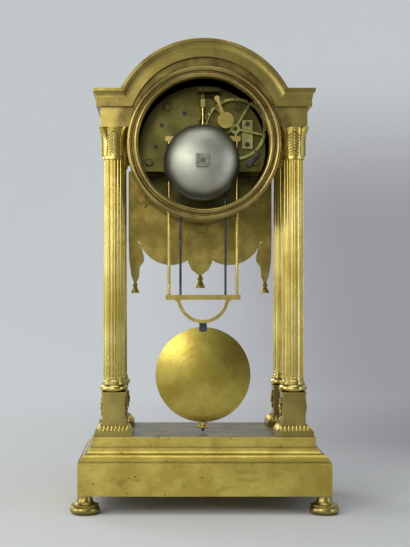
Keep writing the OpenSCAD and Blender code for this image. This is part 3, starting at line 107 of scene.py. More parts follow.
def turned(degrees: float, axis: str, size: int = 4) -> Matrix:
    """Turn about one axis as a square matrix of that size."""
    return Matrix.Rotation(math.radians(degrees), size, axis)


class Shader:
    """Node tree of one material."""

    def __init__(self, name: str) -> None:
        """Makes an empty material of that name."""
        self.material = bpy.data.materials.new(name)
        self.material.use_nodes = True
        self.tree = self.material.node_tree
        self.tree.nodes.clear()

    def add(self, kind: str, inputs: dict[str | int, Value] | None = None, **settings: object) -> Node:
        """Adds one node with its settings and links.

        Args:
            kind: the node's type, without the ShaderNode prefix.
            inputs: a number, a colour, a socket, or a node for its first output, by input.
            settings: properties of the node.
        Returns:
            The new node.
        """
        node = self.tree.nodes.new("ShaderNode" + kind)
        for key, value in settings.items():
            setattr(node, key, value)
        for key, value in (inputs or {}).items():
            if isinstance(value, Node):
                value = next(output for output in value.outputs if output.enabled)
            if isinstance(value, Socket):
                self.tree.links.new(value, node.inputs[key])
            else:
                node.inputs[key].default_value = value
        return node

    def patches(
        self,
        at: Value,
        size_mm: float,
        cut: tuple[float, float],
        share: tuple[float, float] = (0.0, 1.0),
        detail: float = 6.0,
        rough: float = 0.55,
    ) -> Node:
        """Blotches of one size, with soft borders.

        Args:
            at: coordinates of the pattern.
            size_mm: how wide a blotch is.
            cut: levels of the noise at which a blotch starts and is full.
            share: what the pattern gives outside and inside a blotch.
            detail: octaves of the noise.
            rough: weight of the finer octaves.
        Returns:
            The node that gives the share.
        """
        noise = {"Vector": at, "Scale": 1 / (size_mm * MM), "Detail": detail, "Roughness": rough}
        spread = {"From Min": cut[0], "From Max": cut[1], "To Min": share[0], "To Max": share[1]}
        lumps = self.add("TexNoise", noise)
        return self.add("MapRange", {"Value": lumps, **spread}, interpolation_type=SMOOTH)


@dataclass(frozen=True)
class Metal:
    """Aged metal: clouded colour, soiling and painted shade in hollows, edges paler from wear and a painted
    highlight, pits and a cast or turned grain.

    The sizes in millimetres are those of the clouds, the grain, its relief, the spacing of pits, the rounding
    of edges and the hollows that take soiling and painted shade. The shares say how far soiling with painted
    shade, spots, pits and bare patches cover the metal. Waves and pits are as deep as their multiple of the
    grain. A painted shade round the drum ends at its given radius from the drum's axis, dust lies on level
    faces and dulls them. The brush and pit_long draw a pattern out along an axis where they are under one.
    """

    name: str
    base: str
    bright: str
    dirt_and_shade: str
    edge_wear_and_highlight: str
    rough: tuple[float, float]
    cloud_mm: float = 28.0
    grain_mm: float = 0.9
    grain_depth: float = 0.12
    relief_mm: float = 0.35
    wave_depth: float = 2.0
    grime_and_shade_share: float = 0.5
    spot_share: float = 0.35
    pit_share: float = 0.0
    pit_mm: float = 5.0
    pit_long: float = 0.55
    pit_depth: float = 3.0
    patch: str = ""
    patch_share: float = 0.0
    drum_shade_r: float = 0.0
    dust: str = ""
    dust_dull: float = 0.5
    brush: tuple[float, float, float] = (1.0, 1.0, 1.0)
    round_mm: float = 0.35
    hollow_mm: float = 5.0
    pit: str = "#1f1a10"

    def build(self) -> Material:
        """Material of this metal.

        Returns:
            A new material on Object coordinates.
        """
        g = Shader(self.name)
        at = g.add("TexCoord").outputs["Object"]
        facing = g.add("NewGeometry").outputs["Normal"]
        drawn = g.add("VectorMath", {0: at, 1: self.brush}, operation="MULTIPLY")
        rounded = g.add("Bevel", {"Radius": self.round_mm * MM}, samples=4)
        spots = g.patches(
            drawn, self.cloud_mm / 4, cut=(0.52, 0.74), share=(0.0, self.spot_share), detail=8.0, rough=0.72
        )
        grime_and_shade = self._grime_and_shade(g)
        height = self._grain(g, at, drawn)
        metallic: Value = 1.0
        clouds = g.patches(at, self.cloud_mm, cut=(0.38, 0.66), detail=5.0)
        layers: list[tuple[Value, str]] = [(clouds, self.bright)]
        if self.patch:
            bare = (0.0, self.patch_share)
            worn = g.patches(at, self.cloud_mm * 0.8, cut=(0.44, 0.68), share=bare, detail=7.0, rough=0.62)
            layers.append((worn, self.patch))
        if self.dust:
            dust = self._lying(g, at, facing)
            layers.append((dust, self.dust))
            dull = g.add("Math", {0: dust, 1: self.dust_dull}, operation="MULTIPLY")
            metallic = g.add("Math", {0: 1.0, 1: dull}, operation="SUBTRACT")
        # painted shade round the drum, broken in patches
        if self.drum_shade_r:
            layers.append((self._painted_drum_shade(g, at), self.dirt_and_shade))
        # dark spots of soiling, and soiling with painted shade in the hollows
        layers.append((g.add("Math", {0: spots, 1: grime_and_shade}, operation="MAXIMUM"), self.dirt_and_shade))
        # paler edges: rubbed bare metal and a painted highlight
        layers.append((self._rubbed_and_highlit(g, at, rounded, facing), self.edge_wear_and_highlight))
        if self.pit_share:
            pits = self._pits(g, at)
            layers.append((pits, self.pit))
            deep = g.add("Math", {0: pits, 1: self.pit_depth}, operation="MULTIPLY")
            height = g.add("Math", {0: height, 1: deep}, operation="SUBTRACT")
        colour: Value = linear(self.base)
        for share, code in layers:
            colour = g.add("Mix", {SHARE: share, FIRST: colour, SECOND: linear(code)}, data_type="RGBA")
        relief = {"Height": height, "Distance": self.relief_mm * MM, "Strength": self.grain_depth}
        look = {"Base Color": colour, "Metallic": metallic, "Roughness": self._roughness(g, spots, grime_and_shade)}
        shader = g.add("BsdfPrincipled", {**look, "Normal": g.add("Bump", {**relief, "Normal": rounded})})
        g.add("OutputMaterial", {"Surface": shader})
        return g.material

    def _grime_and_shade(self, g: Shader) -> Node:
        """Share of soiling and painted shade, full in deep hollows."""
        hollow = g.add("AmbientOcclusion", {"Distance": self.hollow_mm * MM}, samples=6).outputs["AO"]
        depth = {"Value": hollow, "From Min": 0.95, "From Max": 0.35}
        shaded = g.add("MapRange", depth, interpolation_type=SMOOTH)
        return g.add("Math", {0: shaded, 1: self.grime_and_shade_share}, operation="MULTIPLY")

    def _grain(self, g: Shader, at: Socket, drawn: Node) -> Node:
        """Height of the fine grain over slow waves."""
        fine = {"Vector": drawn, "Scale": 1 / (self.grain_mm * MM), "Detail": 6.0, "Roughness": 0.6}
        slow = {"Vector": at, "Scale": 5 / (self.cloud_mm * MM), "Detail": 3.0, "Roughness": 0.55}
        waves = g.add("Math", {0: g.add("TexNoise", slow), 1: self.wave_depth}, operation="MULTIPLY")
        return g.add("Math", {0: g.add("TexNoise", fine), 1: waves}, operation="ADD")

    def _lying(self, g: Shader, at: Socket, facing: Socket) -> Node:
        """Share of dust, on faces that look up."""
        up = g.add("SeparateXYZ", {"Vector": facing}).outputs["Z"]
        lean = {"Value": up, "From Min": 0.75, "From Max": 0.97}
        level = g.add("MapRange", lean, interpolation_type=SMOOTH)
        uneven = g.patches(at, size_mm=20.0, cut=(0.3, 0.7), share=(0.6, 0.9))
        return g.add("Math", {0: level, 1: uneven}, operation="MULTIPLY")

    def _painted_drum_shade(self, g: Shader, at: Socket) -> Node:
        """Share of painted shade round the drum, thick and broken near the drum's axis and gone at the given
        radius.
        """
        from_axis = g.add("VectorMath", {0: at, 1: (0, 0, -drum_height())}, operation="ADD")
        across = g.add("VectorMath", {0: from_axis, 1: (1, 0, 1)}, operation="MULTIPLY")
        reach = g.add("VectorMath", {0: across}, operation="LENGTH")
        fade = {"Value": reach, "From Min": self.drum_shade_r * 1.05, "From Max": self.drum_shade_r * 0.96}
        near = g.add("MapRange", fade, interpolation_type=SMOOTH)
        broken = g.patches(at, size_mm=14.0, cut=(0.35, 0.65), share=(0.35, 0.75))
        return g.add("Math", {0: near, 1: broken}, operation="MULTIPLY")

    def _rubbed_and_highlit(self, g: Shader, at: Socket, rounded: Node, facing: Socket) -> Node:
        """Share of paler metal, broken along the edges: rubbed bare metal and a painted highlight."""
        bend = g.add("VectorMath", {0: rounded, 1: facing}, operation="DOT_PRODUCT")
        sharp = {"Value": bend, "From Min": 0.985, "From Max": 0.85}
        edges = g.add("MapRange", sharp, interpolation_type=SMOOTH)
        broken = g.patches(at, size_mm=3.0, cut=(0.35, 0.6), share=(0.15, 0.8))
        return g.add("Math", {0: edges, 1: broken}, operation="MULTIPLY")

    def _pits(self, g: Shader, at: Socket) -> Node:
        """Share of the casting pits, longer than tall and in a few places only."""
        flat = g.add("VectorMath", {0: at, 1: (self.pit_long, 1.0, 1.0)}, operation="MULTIPLY")
        cells = g.add("TexVoronoi", {"Vector": flat, "Scale": 1 / (self.pit_mm * MM), "Randomness": 1.0})
        near = {"Value": cells, "From Min": 0.16, "From Max": 0.08}
        holes = g.add("MapRange", near, interpolation_type=SMOOTH)
        few = g.patches(at, size_mm=16.0, cut=(0.47, 0.6), detail=3.0)
        share = g.add("Math", {0: few, 1: self.pit_share}, operation="MULTIPLY")
        return g.add("Math", {0: holes, 1: share}, operation="MULTIPLY")

    def _roughness(self, g: Shader, spots: Node, grime_and_shade: Node) -> Node:
        """Roughness between the metal's two, higher on spots and in the soiling and painted shade of hollows.
        """
        low, high = self.rough
        span = {"Value": spots, "From Min": 0.0, "From Max": 0.4, "To Min": low, "To Max": high}
        spotted = g.add("MapRange", span, interpolation_type=SMOOTH)
        dirty = g.add("Math", {0: grime_and_shade, 1: 0.15}, operation="MULTIPLY")
        return g.add("Math", {0: spotted, 1: dirty}, operation="ADD")


@dataclass(frozen=True)
class Enamel:
    """Fired enamel: milky, glossy, faintly uneven."""

    name: str
    base: str
    cloud: str
    cloud_mm: float = 22.0
    wave_mm: float = 9.0

    def build(self) -> Material:
        """Material of this enamel."""
        g = Shader(self.name)
        at = g.add("TexCoord").outputs["Object"]
        clouds = g.patches(at, self.cloud_mm, cut=(0.35, 0.7), detail=4.0)
        colours = {FIRST: linear(self.base), SECOND: linear(self.cloud)}
        tint = g.add("Mix", {SHARE: clouds, **colours}, data_type="RGBA")
        wave = {"Vector": at, "Scale": 1 / (self.wave_mm * MM), "Detail": 2.0, "Roughness": 0.55}
        bump = g.add("Bump", {"Height": g.add("TexNoise", wave), "Distance": 0.1 * MM, "Strength": 0.05})
        shader = g.add("BsdfPrincipled", {"Base Color": tint, "Roughness": 0.16, "Normal": bump})
        g.add("OutputMaterial", {"Surface": shader})
        return g.material


@dataclass(frozen=True)
class Glass:
    """Old blown glass: clear, with a faint green and a slow ripple."""

    name: str
    tint: str
    wave_mm: float = 30.0

    def build(self) -> Material:
        """Material of this glass."""
        g = Shader(self.name)
        at = g.add("TexCoord").outputs["Object"]
        wave = {"Vector": at, "Scale": 1 / (self.wave_mm * MM), "Detail": 1.0, "Roughness": 0.55}
        ripple = g.add("Bump", {"Height": g.add("TexNoise", wave), "Distance": 0.2 * MM, "Strength": 0.04})
        clear = {"Base Color": linear(self.tint), "Roughness": 0.01, "IOR": 1.5, "Transmission Weight": 1.0}
        shader = g.add("BsdfPrincipled", {**clear, "Normal": ripple})
        g.add("OutputMaterial", {"Surface": shader})
        return g.material


@dataclass(frozen=True)
class Ink:
    """Black enamel paint, and the black of old oil: a brushed coat, greyer and duller in patches."""

    name: str
    base: str
    thin: str
    thin_mm: float = 3.0
    gloss_mm: float = 5.0
    wave_mm: float = 2.0

    def build(self) -> Material:
        """Material of this ink."""
        g = Shader(self.name)
        at = g.add("TexCoord").outputs["Object"]
        worn = g.patches(at, self.thin_mm, cut=(0.4, 0.75), detail=4.0)
        colours = {FIRST: linear(self.base), SECOND: linear(self.thin)}
        tint = g.add("Mix", {SHARE: worn, **colours}, data_type="RGBA")
        rough = g.patches(at, self.gloss_mm, cut=(0.3, 0.7), share=(0.22, 0.42), detail=4.0)
        brushed = {"Vector": at, "Scale": 1 / (self.wave_mm * MM), "Detail": 2.0, "Roughness": 0.55}
        bump = g.add("Bump", {"Height": g.add("TexNoise", brushed), "Distance": 0.1 * MM, "Strength": 0.1})
        shader = g.add("BsdfPrincipled", {"Base Color": tint, "Roughness": rough, "Normal": bump})
        g.add("OutputMaterial", {"Surface": shader})
        return g.material


@dataclass(frozen=True)
class Paper:
    """Seamless studio paper: plain near the object, glowing faintly far off, with the clock's shadow painted
    dim to the right behind it and painted shade at the far end of the room.
    """

    name: str
    floor: str
    wall: str
    # colours of the clock's painted shadow and of the painted shade at the far end of the room
    shade: str
    deep: str
    glow: float = 0.8
    plain_to: float = 0.35
    wall_from: float = 1.3

    # each span has an axis, then where along it the share starts and is full, in metres
    # the clock's shadow painted on the wall, low behind the object and to its right
    PAINTED_SHADOW = (("X", 0.12, -0.5), ("Z", 0.9, 0.4), ("Y", 0.1, -0.5))
    # painted shade at the dark end of the room, which only metal sees
    PAINTED_FAR_SHADE = (("X", 0.0, -0.8), ("Y", 0.3, 1.2))

    def build(self) -> Material:
        """Material of this paper.

        Returns:
            A dull sheet that also glows far off, for rays that see it directly, in glass or in metal.
        """
        g = Shader(self.name)
        at = g.add("TexCoord").outputs["Object"]
        reach = g.add("VectorMath", {0: at}, operation="LENGTH")
        span = {"Value": reach, "From Min": self.plain_to, "From Max": self.wall_from}
        away = g.add("MapRange", span, interpolation_type=SMOOTH)
        # shares of the painted shadow and of the painted far shade
        dim, far = (self._fading(g, at, spans) for spans in (self.PAINTED_SHADOW, self.PAINTED_FAR_SHADE))
        colour: Value = linear(self.floor)
        for share, code in ((away, self.wall), (dim, self.shade), (far, self.deep)):
            colour = g.add("Mix", {SHARE: share, FIRST: colour, SECOND: linear(code)}, data_type="RGBA")
        ray = g.add("LightPath").outputs
        rays = {0: ray["Is Glossy Ray"], 1: ray["Is Transmission Ray"]}
        mirrored = g.add("Math", rays, operation="MAXIMUM")
        seen = g.add("Math", {0: ray["Is Camera Ray"], 1: mirrored}, operation="MAXIMUM")
        far_seen = g.add("Math", {0: seen, 1: away}, operation="MULTIPLY")
        share = g.add("Math", {0: far_seen, 1: self.glow}, operation="MULTIPLY")
        sheet = g.add("BsdfPrincipled", {"Base Color": colour, "Roughness": 0.9, "Specular IOR Level": 0.1})
        light = g.add("Emission", {"Color": colour, "Strength": 1.0})
        g.add("OutputMaterial", {"Surface": g.add("MixShader", {0: share, 1: sheet, 2: light})})
        return g.material

    @staticmethod
    def _fading(g: Shader, at: Socket, spans: Iterable[tuple[str, float, float]]) -> Value:
        """Share that is full past the end of every span.

        Args:
            g: tree that takes the nodes.
            at: coordinates of the sheet.
            spans: axis, start and end of each span.
        Returns:
            The node that gives the share.
        """
        along = g.add("SeparateXYZ", {"Vector": at}).outputs
        share: Value = 1.0
        for axis, start, full in spans:
            span = {"Value": along[axis], "From Min": start, "From Max": full}
            ramp = g.add("MapRange", span, interpolation_type=SMOOTH)
            share = g.add("Math", {0: share, 1: ramp}, operation="MULTIPLY")
        return share


class Finishes:
    """Every material of the clock."""

    def __init__(self) -> None:
        """Builds the materials."""
        # warm mercury gilding over bronze, paler on edges from wear and a painted highlight, and brown in the
        # hollows from soiling and painted shade
        self.gilt = Metal("gilt_bronze", "#c6b157", "#dfcc74", "#46371a", "#efe09c", (0.24, 0.42)).build()
        # burnished gilding of the columns, with a pale painted highlight along the flutes' edges and soiling
        # with painted shade in the flutes
        self.gilt_burnished = Metal(
            "burnished_gilt_bronze", "#b5a24c", "#d2c173", "#43340f", "#f2e9c0", (0.2, 0.32), cloud_mm=45,
            grain_depth=0.02, spot_share=0.15, hollow_mm=3.0, grime_and_shade_share=0.6,
        ).build()
        # matt gilding of the capitals, brown between the ribs as soiling and painted shade
        self.gilt_matt = Metal(
            "matt_gilt_bronze", "#c8b25a", "#dfcd7a", "#33260f", "#f2e5a6", (0.34, 0.46), grain_depth=0.02,
            spot_share=0.15, hollow_mm=1.6, grime_and_shade_share=1.0,
        ).build()
        # dim gilding of the pedestals and feet, never burnished
        self.gilt_dim = Metal(
            "dim_gilt_bronze", "#968648", "#ae9e5a", "#443619", "#dccb86", (0.32, 0.46)
        ).build()
        # gilding of the roof's mouldings, worn thin so that brown bronze shows through, its colour darkened
        # as painted shade
        self.gilt_worn_and_shaded = Metal(
            "worn_and_shaded_gilt_bronze", "#978746", "#b2a259", "#41331d", "#dccb86", (0.28, 0.44), cloud_mm=34,
            spot_share=0.45, patch="#6d5237", patch_share=0.6,
        ).build()
        # gilding of the frieze, toned down as painted shade, with more painted shade round the drum, so
        # brighter at its ends
        self.gilt_field = Metal(
            "drum_shaded_gilt_bronze", "#a5944e", "#bbaa5e", "#4d3d28", "#dccb86", (0.3, 0.46), cloud_mm=30,
            spot_share=0.3, patch="#8b7340", patch_share=0.4, drum_shade_r=0.088,
        ).build()
        # plinth gilding with casting pits along its plain back and dust on its top
        self.gilt_pitted = Metal(
            "pitted_gilt_bronze", "#c4b054", "#dac767", "#4c3e1c", "#cfbf76", (0.35, 0.5), pit_share=0.95,
            patch="#a8823f", patch_share=0.35, dust="#54503f", brush=(0.3, 1.0, 1.0), spot_share=0.45,
        ).build()
        # satin face of the bob
        self.gilt_satin = Metal(
            "satin_gilt_brass", "#ae9b44", "#c4b258", "#75602a", "#f0e29a", (0.28, 0.38), cloud_mm=22,
            spot_share=0.4, grain_depth=0.05, patch="#967835", patch_share=0.35,
        ).build()
        # brown, rubbed brass of the ring round the drum
        self.ring = Metal(
            "ring_brass", "#8d7c43", "#a89757", "#382c17", "#e2d292", (0.26, 0.42), patch="#7d5c3e",
            patch_share=0.5,
        ).build()
        # rough unfinished back of a thin casting
        self.cast = Metal(
            "cast_gilt_bronze", "#938344", "#b3a256", "#42361c", "#c8b870", (0.46, 0.6), cloud_mm=16,
            grain_mm=3.2, grain_depth=0.4, spot_share=0.4, patch="#7d6d36", patch_share=0.4,
        ).build()
        # painted shade: dark brass for the inside of the drum and the suspension cock, where shade falls
        self.dull = Metal(
            "painted_shade_brass", "#4f4628", "#665b38", "#171309", "#8c7d4a", (0.42, 0.58), grime_and_shade_share=0.8
        ).build()
        # olive clock brass, dull with old oil, its colour darkened as painted shade of the drum's inside and
        # more so in its hollows
        self.brass = Metal(
            "clock_brass", "#5d582e", "#77723e", "#1b170b", "#b5ab6c", (0.32, 0.46), cloud_mm=18,
            grain_depth=0.05, grime_and_shade_share=0.85,
        ).build()
        # greenish brass of the count wheel and its cock, a paler copy of the plate's brass as painted light
        # where they stand lit before it
        self.painted_lit_brass = Metal(
            "painted_lit_brass", "#a19d5c", "#bbb874", "#2a2412", "#d6d096", (0.26, 0.4), cloud_mm=12,
            grain_depth=0.04,
        ).build()
        # warm brass of the hammer head and the pendulum's fittings
        self.bright_brass = Metal(
            "warm_brass", "#b8a355", "#d3bf6e", "#46381c", "#ecdc96", (0.24, 0.4), cloud_mm=12,
            grain_depth=0.05,
        ).build()
        # dark blued steel
        self.steel = Metal(
            "blued_steel", "#3a3c42", "#55575e", "#1d1813", "#94969c", (0.3, 0.45), cloud_mm=9,
            grain_depth=0.05,
        ).build()
        # grey bell metal, skimmed on a lathe and tarnished
        self.bell = Metal(
            "bell_metal", "#a8ac9c", "#bec2b2", "#5c5e52", "#d6d8cc", (0.48, 0.58), cloud_mm=24,
            grain_depth=0.03, grime_and_shade_share=0.3, spot_share=0.22,
        ).build()
        # grey iron of the bell's nut, hammered at its corners
        self.iron = Metal(
            "grey_iron", "#7b7e74", "#95988c", "#33322a", "#b4b6aa", (0.42, 0.55), cloud_mm=5, grain_depth=0.5
        ).build()
        # white fired enamel, a little warm in its clouds
        self.enamel = Enamel("white_enamel", "#f4f0e6", "#efe9da").build()
        # clear glass with the ripple of blowing
        self.glass = Glass("blown_glass", "#f3f8f4").build()
        # black of the figures and the old oil, and the painted shade of the screw slots, glossy where the
        # coat is thick
        self.ink = Ink("black_ink", "#15141a", "#322e32").build()

    def of(self, node: str) -> Material:
        """Material of one CAD node.

        Args:
            node: the node's name.
        Returns:
            The finish that the node wears.
        """
        families = {
            "pedestal_": self.gilt_dim,
            "foot_": self.gilt_dim,
            "column_": self.gilt_burnished,
            "capital_": self.gilt_matt,
        }
        for start, finish in families.items():
            if node.startswith(start):
                return finish
        named = {
            "cornice": self.gilt_worn_and_shaded,
            "frieze": self.gilt_field,
            "rear_ring": self.ring,
            "drum": self.dull,
            "hammer": self.bright_brass,
            "pendulum_hanger": self.bright_brass,
            "outer_rods": self.bright_brass,
            "pendulum_bow": self.bright_brass,
            "bell_nut": self.iron,
            "count_wheel": self.painted_lit_brass,
            "strike_cock": self.painted_lit_brass,
            "suspension_spring": self.painted_lit_brass,
            "suspension_cock": self.dull,
            "drapery_screws": self.cast,
            "plinth_block": self.gilt_pitted,
            "plinth_cap": self.gilt_pitted,
            "drapery": self.cast,
            "bob": self.gilt_satin,
            "bell": self.bell,
            "dial": self.enamel,
            "bezel_glass": self.glass,
        }
        by_slot = {Slot.BRASS: self.brass, Slot.STEEL: self.steel}
        slots = {p["node"]: p["material_slot"] for p in frame["record"]["subparts"]}
        return named.get(node) or by_slot.get(Slot(slots[node]), self.gilt)

    def dress(self) -> None:
        """Gives every CAD node its finish."""
        for name, node in frame["nodes"].items():
            node.data.materials.clear()
            node.data.materials.append(self.of(name))
            LOG.info("%s wears %s", name, node.data.materials[0].name)


class Piece:
    """A mesh that is put together from bmesh shapes."""

    def __init__(self, name: str, finish: Material, slot: Slot) -> None:
        """Starts an empty mesh with one finish."""
        self.name, self.finish, self.slot = name, finish, slot
        self.bm = bmesh.new()

    def ball(self, place: Matrix, bend: Bend | None = None, u: int = 8, v: int = 8) -> None:
        """Adds a unit ball, placed and then bent.

        Args:
            place: scale, turn and shift of the ball.
            bend: moves each point on, or None.
            u: steps round it.
            v: steps from pole to pole.
        """
        made = bmesh.ops.create_uvsphere(self.bm, u_segments=u, v_segments=v, radius=1.0, matrix=place)
        for vert in made["verts"] if bend else ():
            vert.co = bend(vert.co)

    def block(self, place: Matrix) -> None:
        """Adds a unit cube, placed."""
        bmesh.ops.create_cube(self.bm, size=1.0, matrix=place)

    def disc(self, place: Matrix, foot_r: float, top_r: float, tall: float) -> None:
        """Adds a round head, its foot and top across the place's own Z axis.

        Args:
            place: where the head's middle is.
            foot_r: radius at its foot.
            top_r: radius at its top.
            tall: height from foot to top.
        """
        bmesh.ops.create_cone(
            self.bm, cap_ends=True, segments=32, radius1=foot_r, radius2=top_r, depth=tall, matrix=place
        )

    def ring(self, place: Matrix, radius: float, width: float, steps: int = 96) -> None:
        """Adds a flat ring, as a line spun about the place's own Z axis.

        Args:
            place: where the ring's axis and plane are.
            radius: its inner radius.
            width: its width.
            steps: segments round it.
        """
        verts = [self.bm.verts.new(place @ Vector((r, 0, 0))) for r in (radius, radius + width)]
        self._spin([*verts, self.bm.edges.new(verts)], place, steps)

    def bead(self, place: Matrix, radius: float, thick: float, steps: int = 48) -> None:
        """Adds a round ring about the place's own Z axis.

        Args:
            place: where the ring's axis and plane are.
            radius: from the axis to the middle of its section.
            thick: radius of its section.
            steps: segments round it.
        """
        section = place @ Matrix.Translation((radius, 0, 0)) @ turned(90, "X")
        made = bmesh.ops.create_circle(self.bm, segments=10, radius=thick, matrix=section)
        edges = {edge_wear_and_highlight for vert in made["verts"] for edge_wear_and_highlight in vert.link_edges}
        self._spin([*made["verts"], *edges], place, steps)

    def finish_on(self, body: str, smooth: bool = True) -> bpy.types.Object:
        """Closes the mesh and lets it ride on a body.

        Args:
            body: CAD body that it moves with.
            smooth: whether its faces are shaded smooth.
        Returns:
            The finished object.
        """
        bmesh.ops.remove_doubles(self.bm, verts=self.bm.verts, dist=1e-7)
        bmesh.ops.recalc_face_normals(self.bm, faces=self.bm.faces)
        mesh = bpy.data.meshes.new(self.name)
        self.bm.to_mesh(mesh)
        self.bm.free()
        mesh.materials.append(self.finish)
        mesh.polygons.foreach_set("use_smooth", [smooth] * len(mesh.polygons))
        obj = bpy.data.objects.new(self.name, mesh)
        bpy.context.scene.collection.objects.link(obj)
        LOG.info("%s rides on %s with %d faces", self.name, body, len(mesh.polygons))
        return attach(obj, body)

    def _spin(self, geom: Iterable[Geom], place: Matrix, steps: int) -> None:
        """Spins a section once round the place's own Z axis."""
        axis = place.to_3x3() @ Vector((0, 0, 1))
        bmesh.ops.spin(
            self.bm, geom=list(geom), cent=place.translation, axis=axis, angle=FULL_TURN, steps=steps,
            use_merge=True,
        )


@dataclass
class Capitals:
    """Palm leaves on the capitals: a spine and slanting ribs on each face, wrapped round the body.

    The ribs' reach grows with their height, from the low share of the full reach by up to the gain.
    """

    waist: float = 11.7 * MM
    top: float = 13.5 * MM
    height: float = 31.0 * MM
    flare_from: float = 0.45
    faces: int = 4
    ribs: int = 8
    low: float = 7.0 * MM
    pitch: float = 2.95 * MM
    reach: float = 6.0 * MM
    reach_low: float = 0.75
    reach_gain: float = 0.35
    rib_slope: float = 42.0
    rib_share: float = 0.72
    rib_drop: float = 0.42
    rib_proud: float = 1.1 * MM
    rib_thick: float = 0.78 * MM
    spine: tuple[float, float] = (0.55 * MM, 0.6 * MM)
    spine_share: float = 0.42

    def build(self, finish: Material) -> None:
        """Carves the leaves of every capital."""
        piece = Piece("capital_palms", finish, Slot.GILT)
        for corner in CORNERS:
            foot = middle("capital_" + corner)
            for face in range(self.faces):
                self._leaf(piece, foot, FULL_TURN * face / self.faces)
        piece.finish_on(CASE)

    def radius(self, z: float) -> float:
        """Radius of a face leaf at a height over the capital's foot."""
        t = max(0.0, (z / self.height - self.flare_from) / (1 - self.flare_from))
        return self.waist + (self.top - self.waist) * t * t

    def _leaf(self, piece: Piece, foot: Vector, turn: float) -> None:
        """Adds one face's spine and ribs.

        Args:
            piece: mesh that takes them.
            foot: middle of the capital's foot.
            turn: angle of the face.
        """

        def wrap(p: Vector) -> Vector:
            """Point of a flat leaf, wrapped round the capital."""
            r = self.radius(p.z) + p.y
            a = turn + p.x / self.radius(p.z)
            return foot + Vector((r * math.sin(a), -r * math.cos(a), p.z))

        for i in range(self.ribs):
            reach = self.reach * (self.reach_low + self.reach_gain * i / self.ribs)
            z = self.low + i * self.pitch - reach * self.rib_drop
            for side in (-1, 1):
                slope = turned(side * self.rib_slope, "Y", 3)
                size = (reach * self.rib_share, self.rib_proud, self.rib_thick)
                piece.ball(placed(size, slope, (side * reach * 0.5, 0.0, z)), wrap, u=12)
        middle_z = self.low + self.pitch * (self.ribs - 1) / 2
        size = (*self.spine, self.height * self.spine_share)
        piece.ball(placed(size, FLAT, (0, 0, middle_z)), wrap, v=12)


@dataclass
class Pedestals:
    """Leaf band round each pedestal and the carving of its mounts."""

    half: float = 18.5 * MM
    faces: int = 4
    leaves: int = 8
    leaf_share: float = 0.44
    leaf_proud: float = 0.7 * MM
    leaf_long: float = 3.5 * MM
    band_low: float = 5.0 * MM
    band_high: float = 11.0 * MM
    set_low: float = 1.0 * MM
    set_high: float = 5.8 * MM
    mount_z: float = 27.6 * MM
    mount_out: float = 12.5 * MM
    boss_out: float = 13.3 * MM
    boss_r: float = 2.9 * MM
    boss_bead: float = 0.45 * MM
    boss_ball: tuple[float, float, float] = (1.6 * MM, 0.7 * MM, 1.6 * MM)
    petal: float = 2.7 * MM
    petal_wide: float = 0.75 * MM
    petal_proud: float = 0.6 * MM
    petal_leans: tuple[int, ...] = (-60, -30, 0, 30, 60)
    low_share: float = 0.8

    def build(self, finish: Material) -> None:
        """Dresses every pedestal."""
        band = Piece("pedestal_leaves", finish, Slot.GILT)
        relief = Piece("mount_relief", finish, Slot.GILT)
        for corner in CORNERS:
            foot = middle("pedestal_" + corner)
            for face in range(self.faces):
                self._band(band, Matrix.Translation(foot) @ turned(90 * face, "Z"))
            at = Matrix.Translation(foot + Vector((0, 0, self.mount_z)))
            turns = (90, -90, 0) if corner.startswith("front") else (90, -90)
            for turn in turns:
                self._mount(relief, at @ turned(turn, "Z"))
        band.finish_on(CASE)
        relief.finish_on(CASE)

    def _band(self, piece: Piece, place: Matrix) -> None:
        """Adds the row of leaves on one side, which leans in with the band."""
        lean = math.atan2(self.set_high - self.set_low, self.band_high - self.band_low)
        tilt = Matrix.Rotation(-lean, 3, "X")
        inset = (self.set_low + self.set_high) / 2
        z = (self.band_low + self.band_high) / 2
        run = 2 * (self.half - inset)
        size = (run / self.leaves * self.leaf_share, self.leaf_proud, self.leaf_long)
        for i in range(self.leaves):
            x = run * ((i + 0.5) / self.leaves - 0.5)
            piece.ball(place @ placed(size, tilt, (x, inset - self.half, z)))

    def _mount(self, piece: Piece, place: Matrix) -> None:
        """Adds the petals, the bead and the boss of one mount."""
        for side, share in ((1, 1.0), (-1, self.low_share)):
            size = (self.petal_wide, self.petal_proud, self.petal * share)
            for lean in self.petal_leans:
                turn = turned(lean if side > 0 else 180 - lean, "Y", 3)
                root = Vector((0, -self.mount_out, side * self.boss_r))
                at = root + turn @ Vector((0, 0, self.petal * share))
                piece.ball(place @ placed(size, turn, at))
        boss = place @ Matrix.Translation((0, -self.boss_out, 0))
        piece.bead(boss @ turned(90, "X"), self.boss_r, self.boss_bead, steps=24)
        piece.ball(boss @ Matrix.Diagonal((*self.boss_ball, 1.0)), u=16)


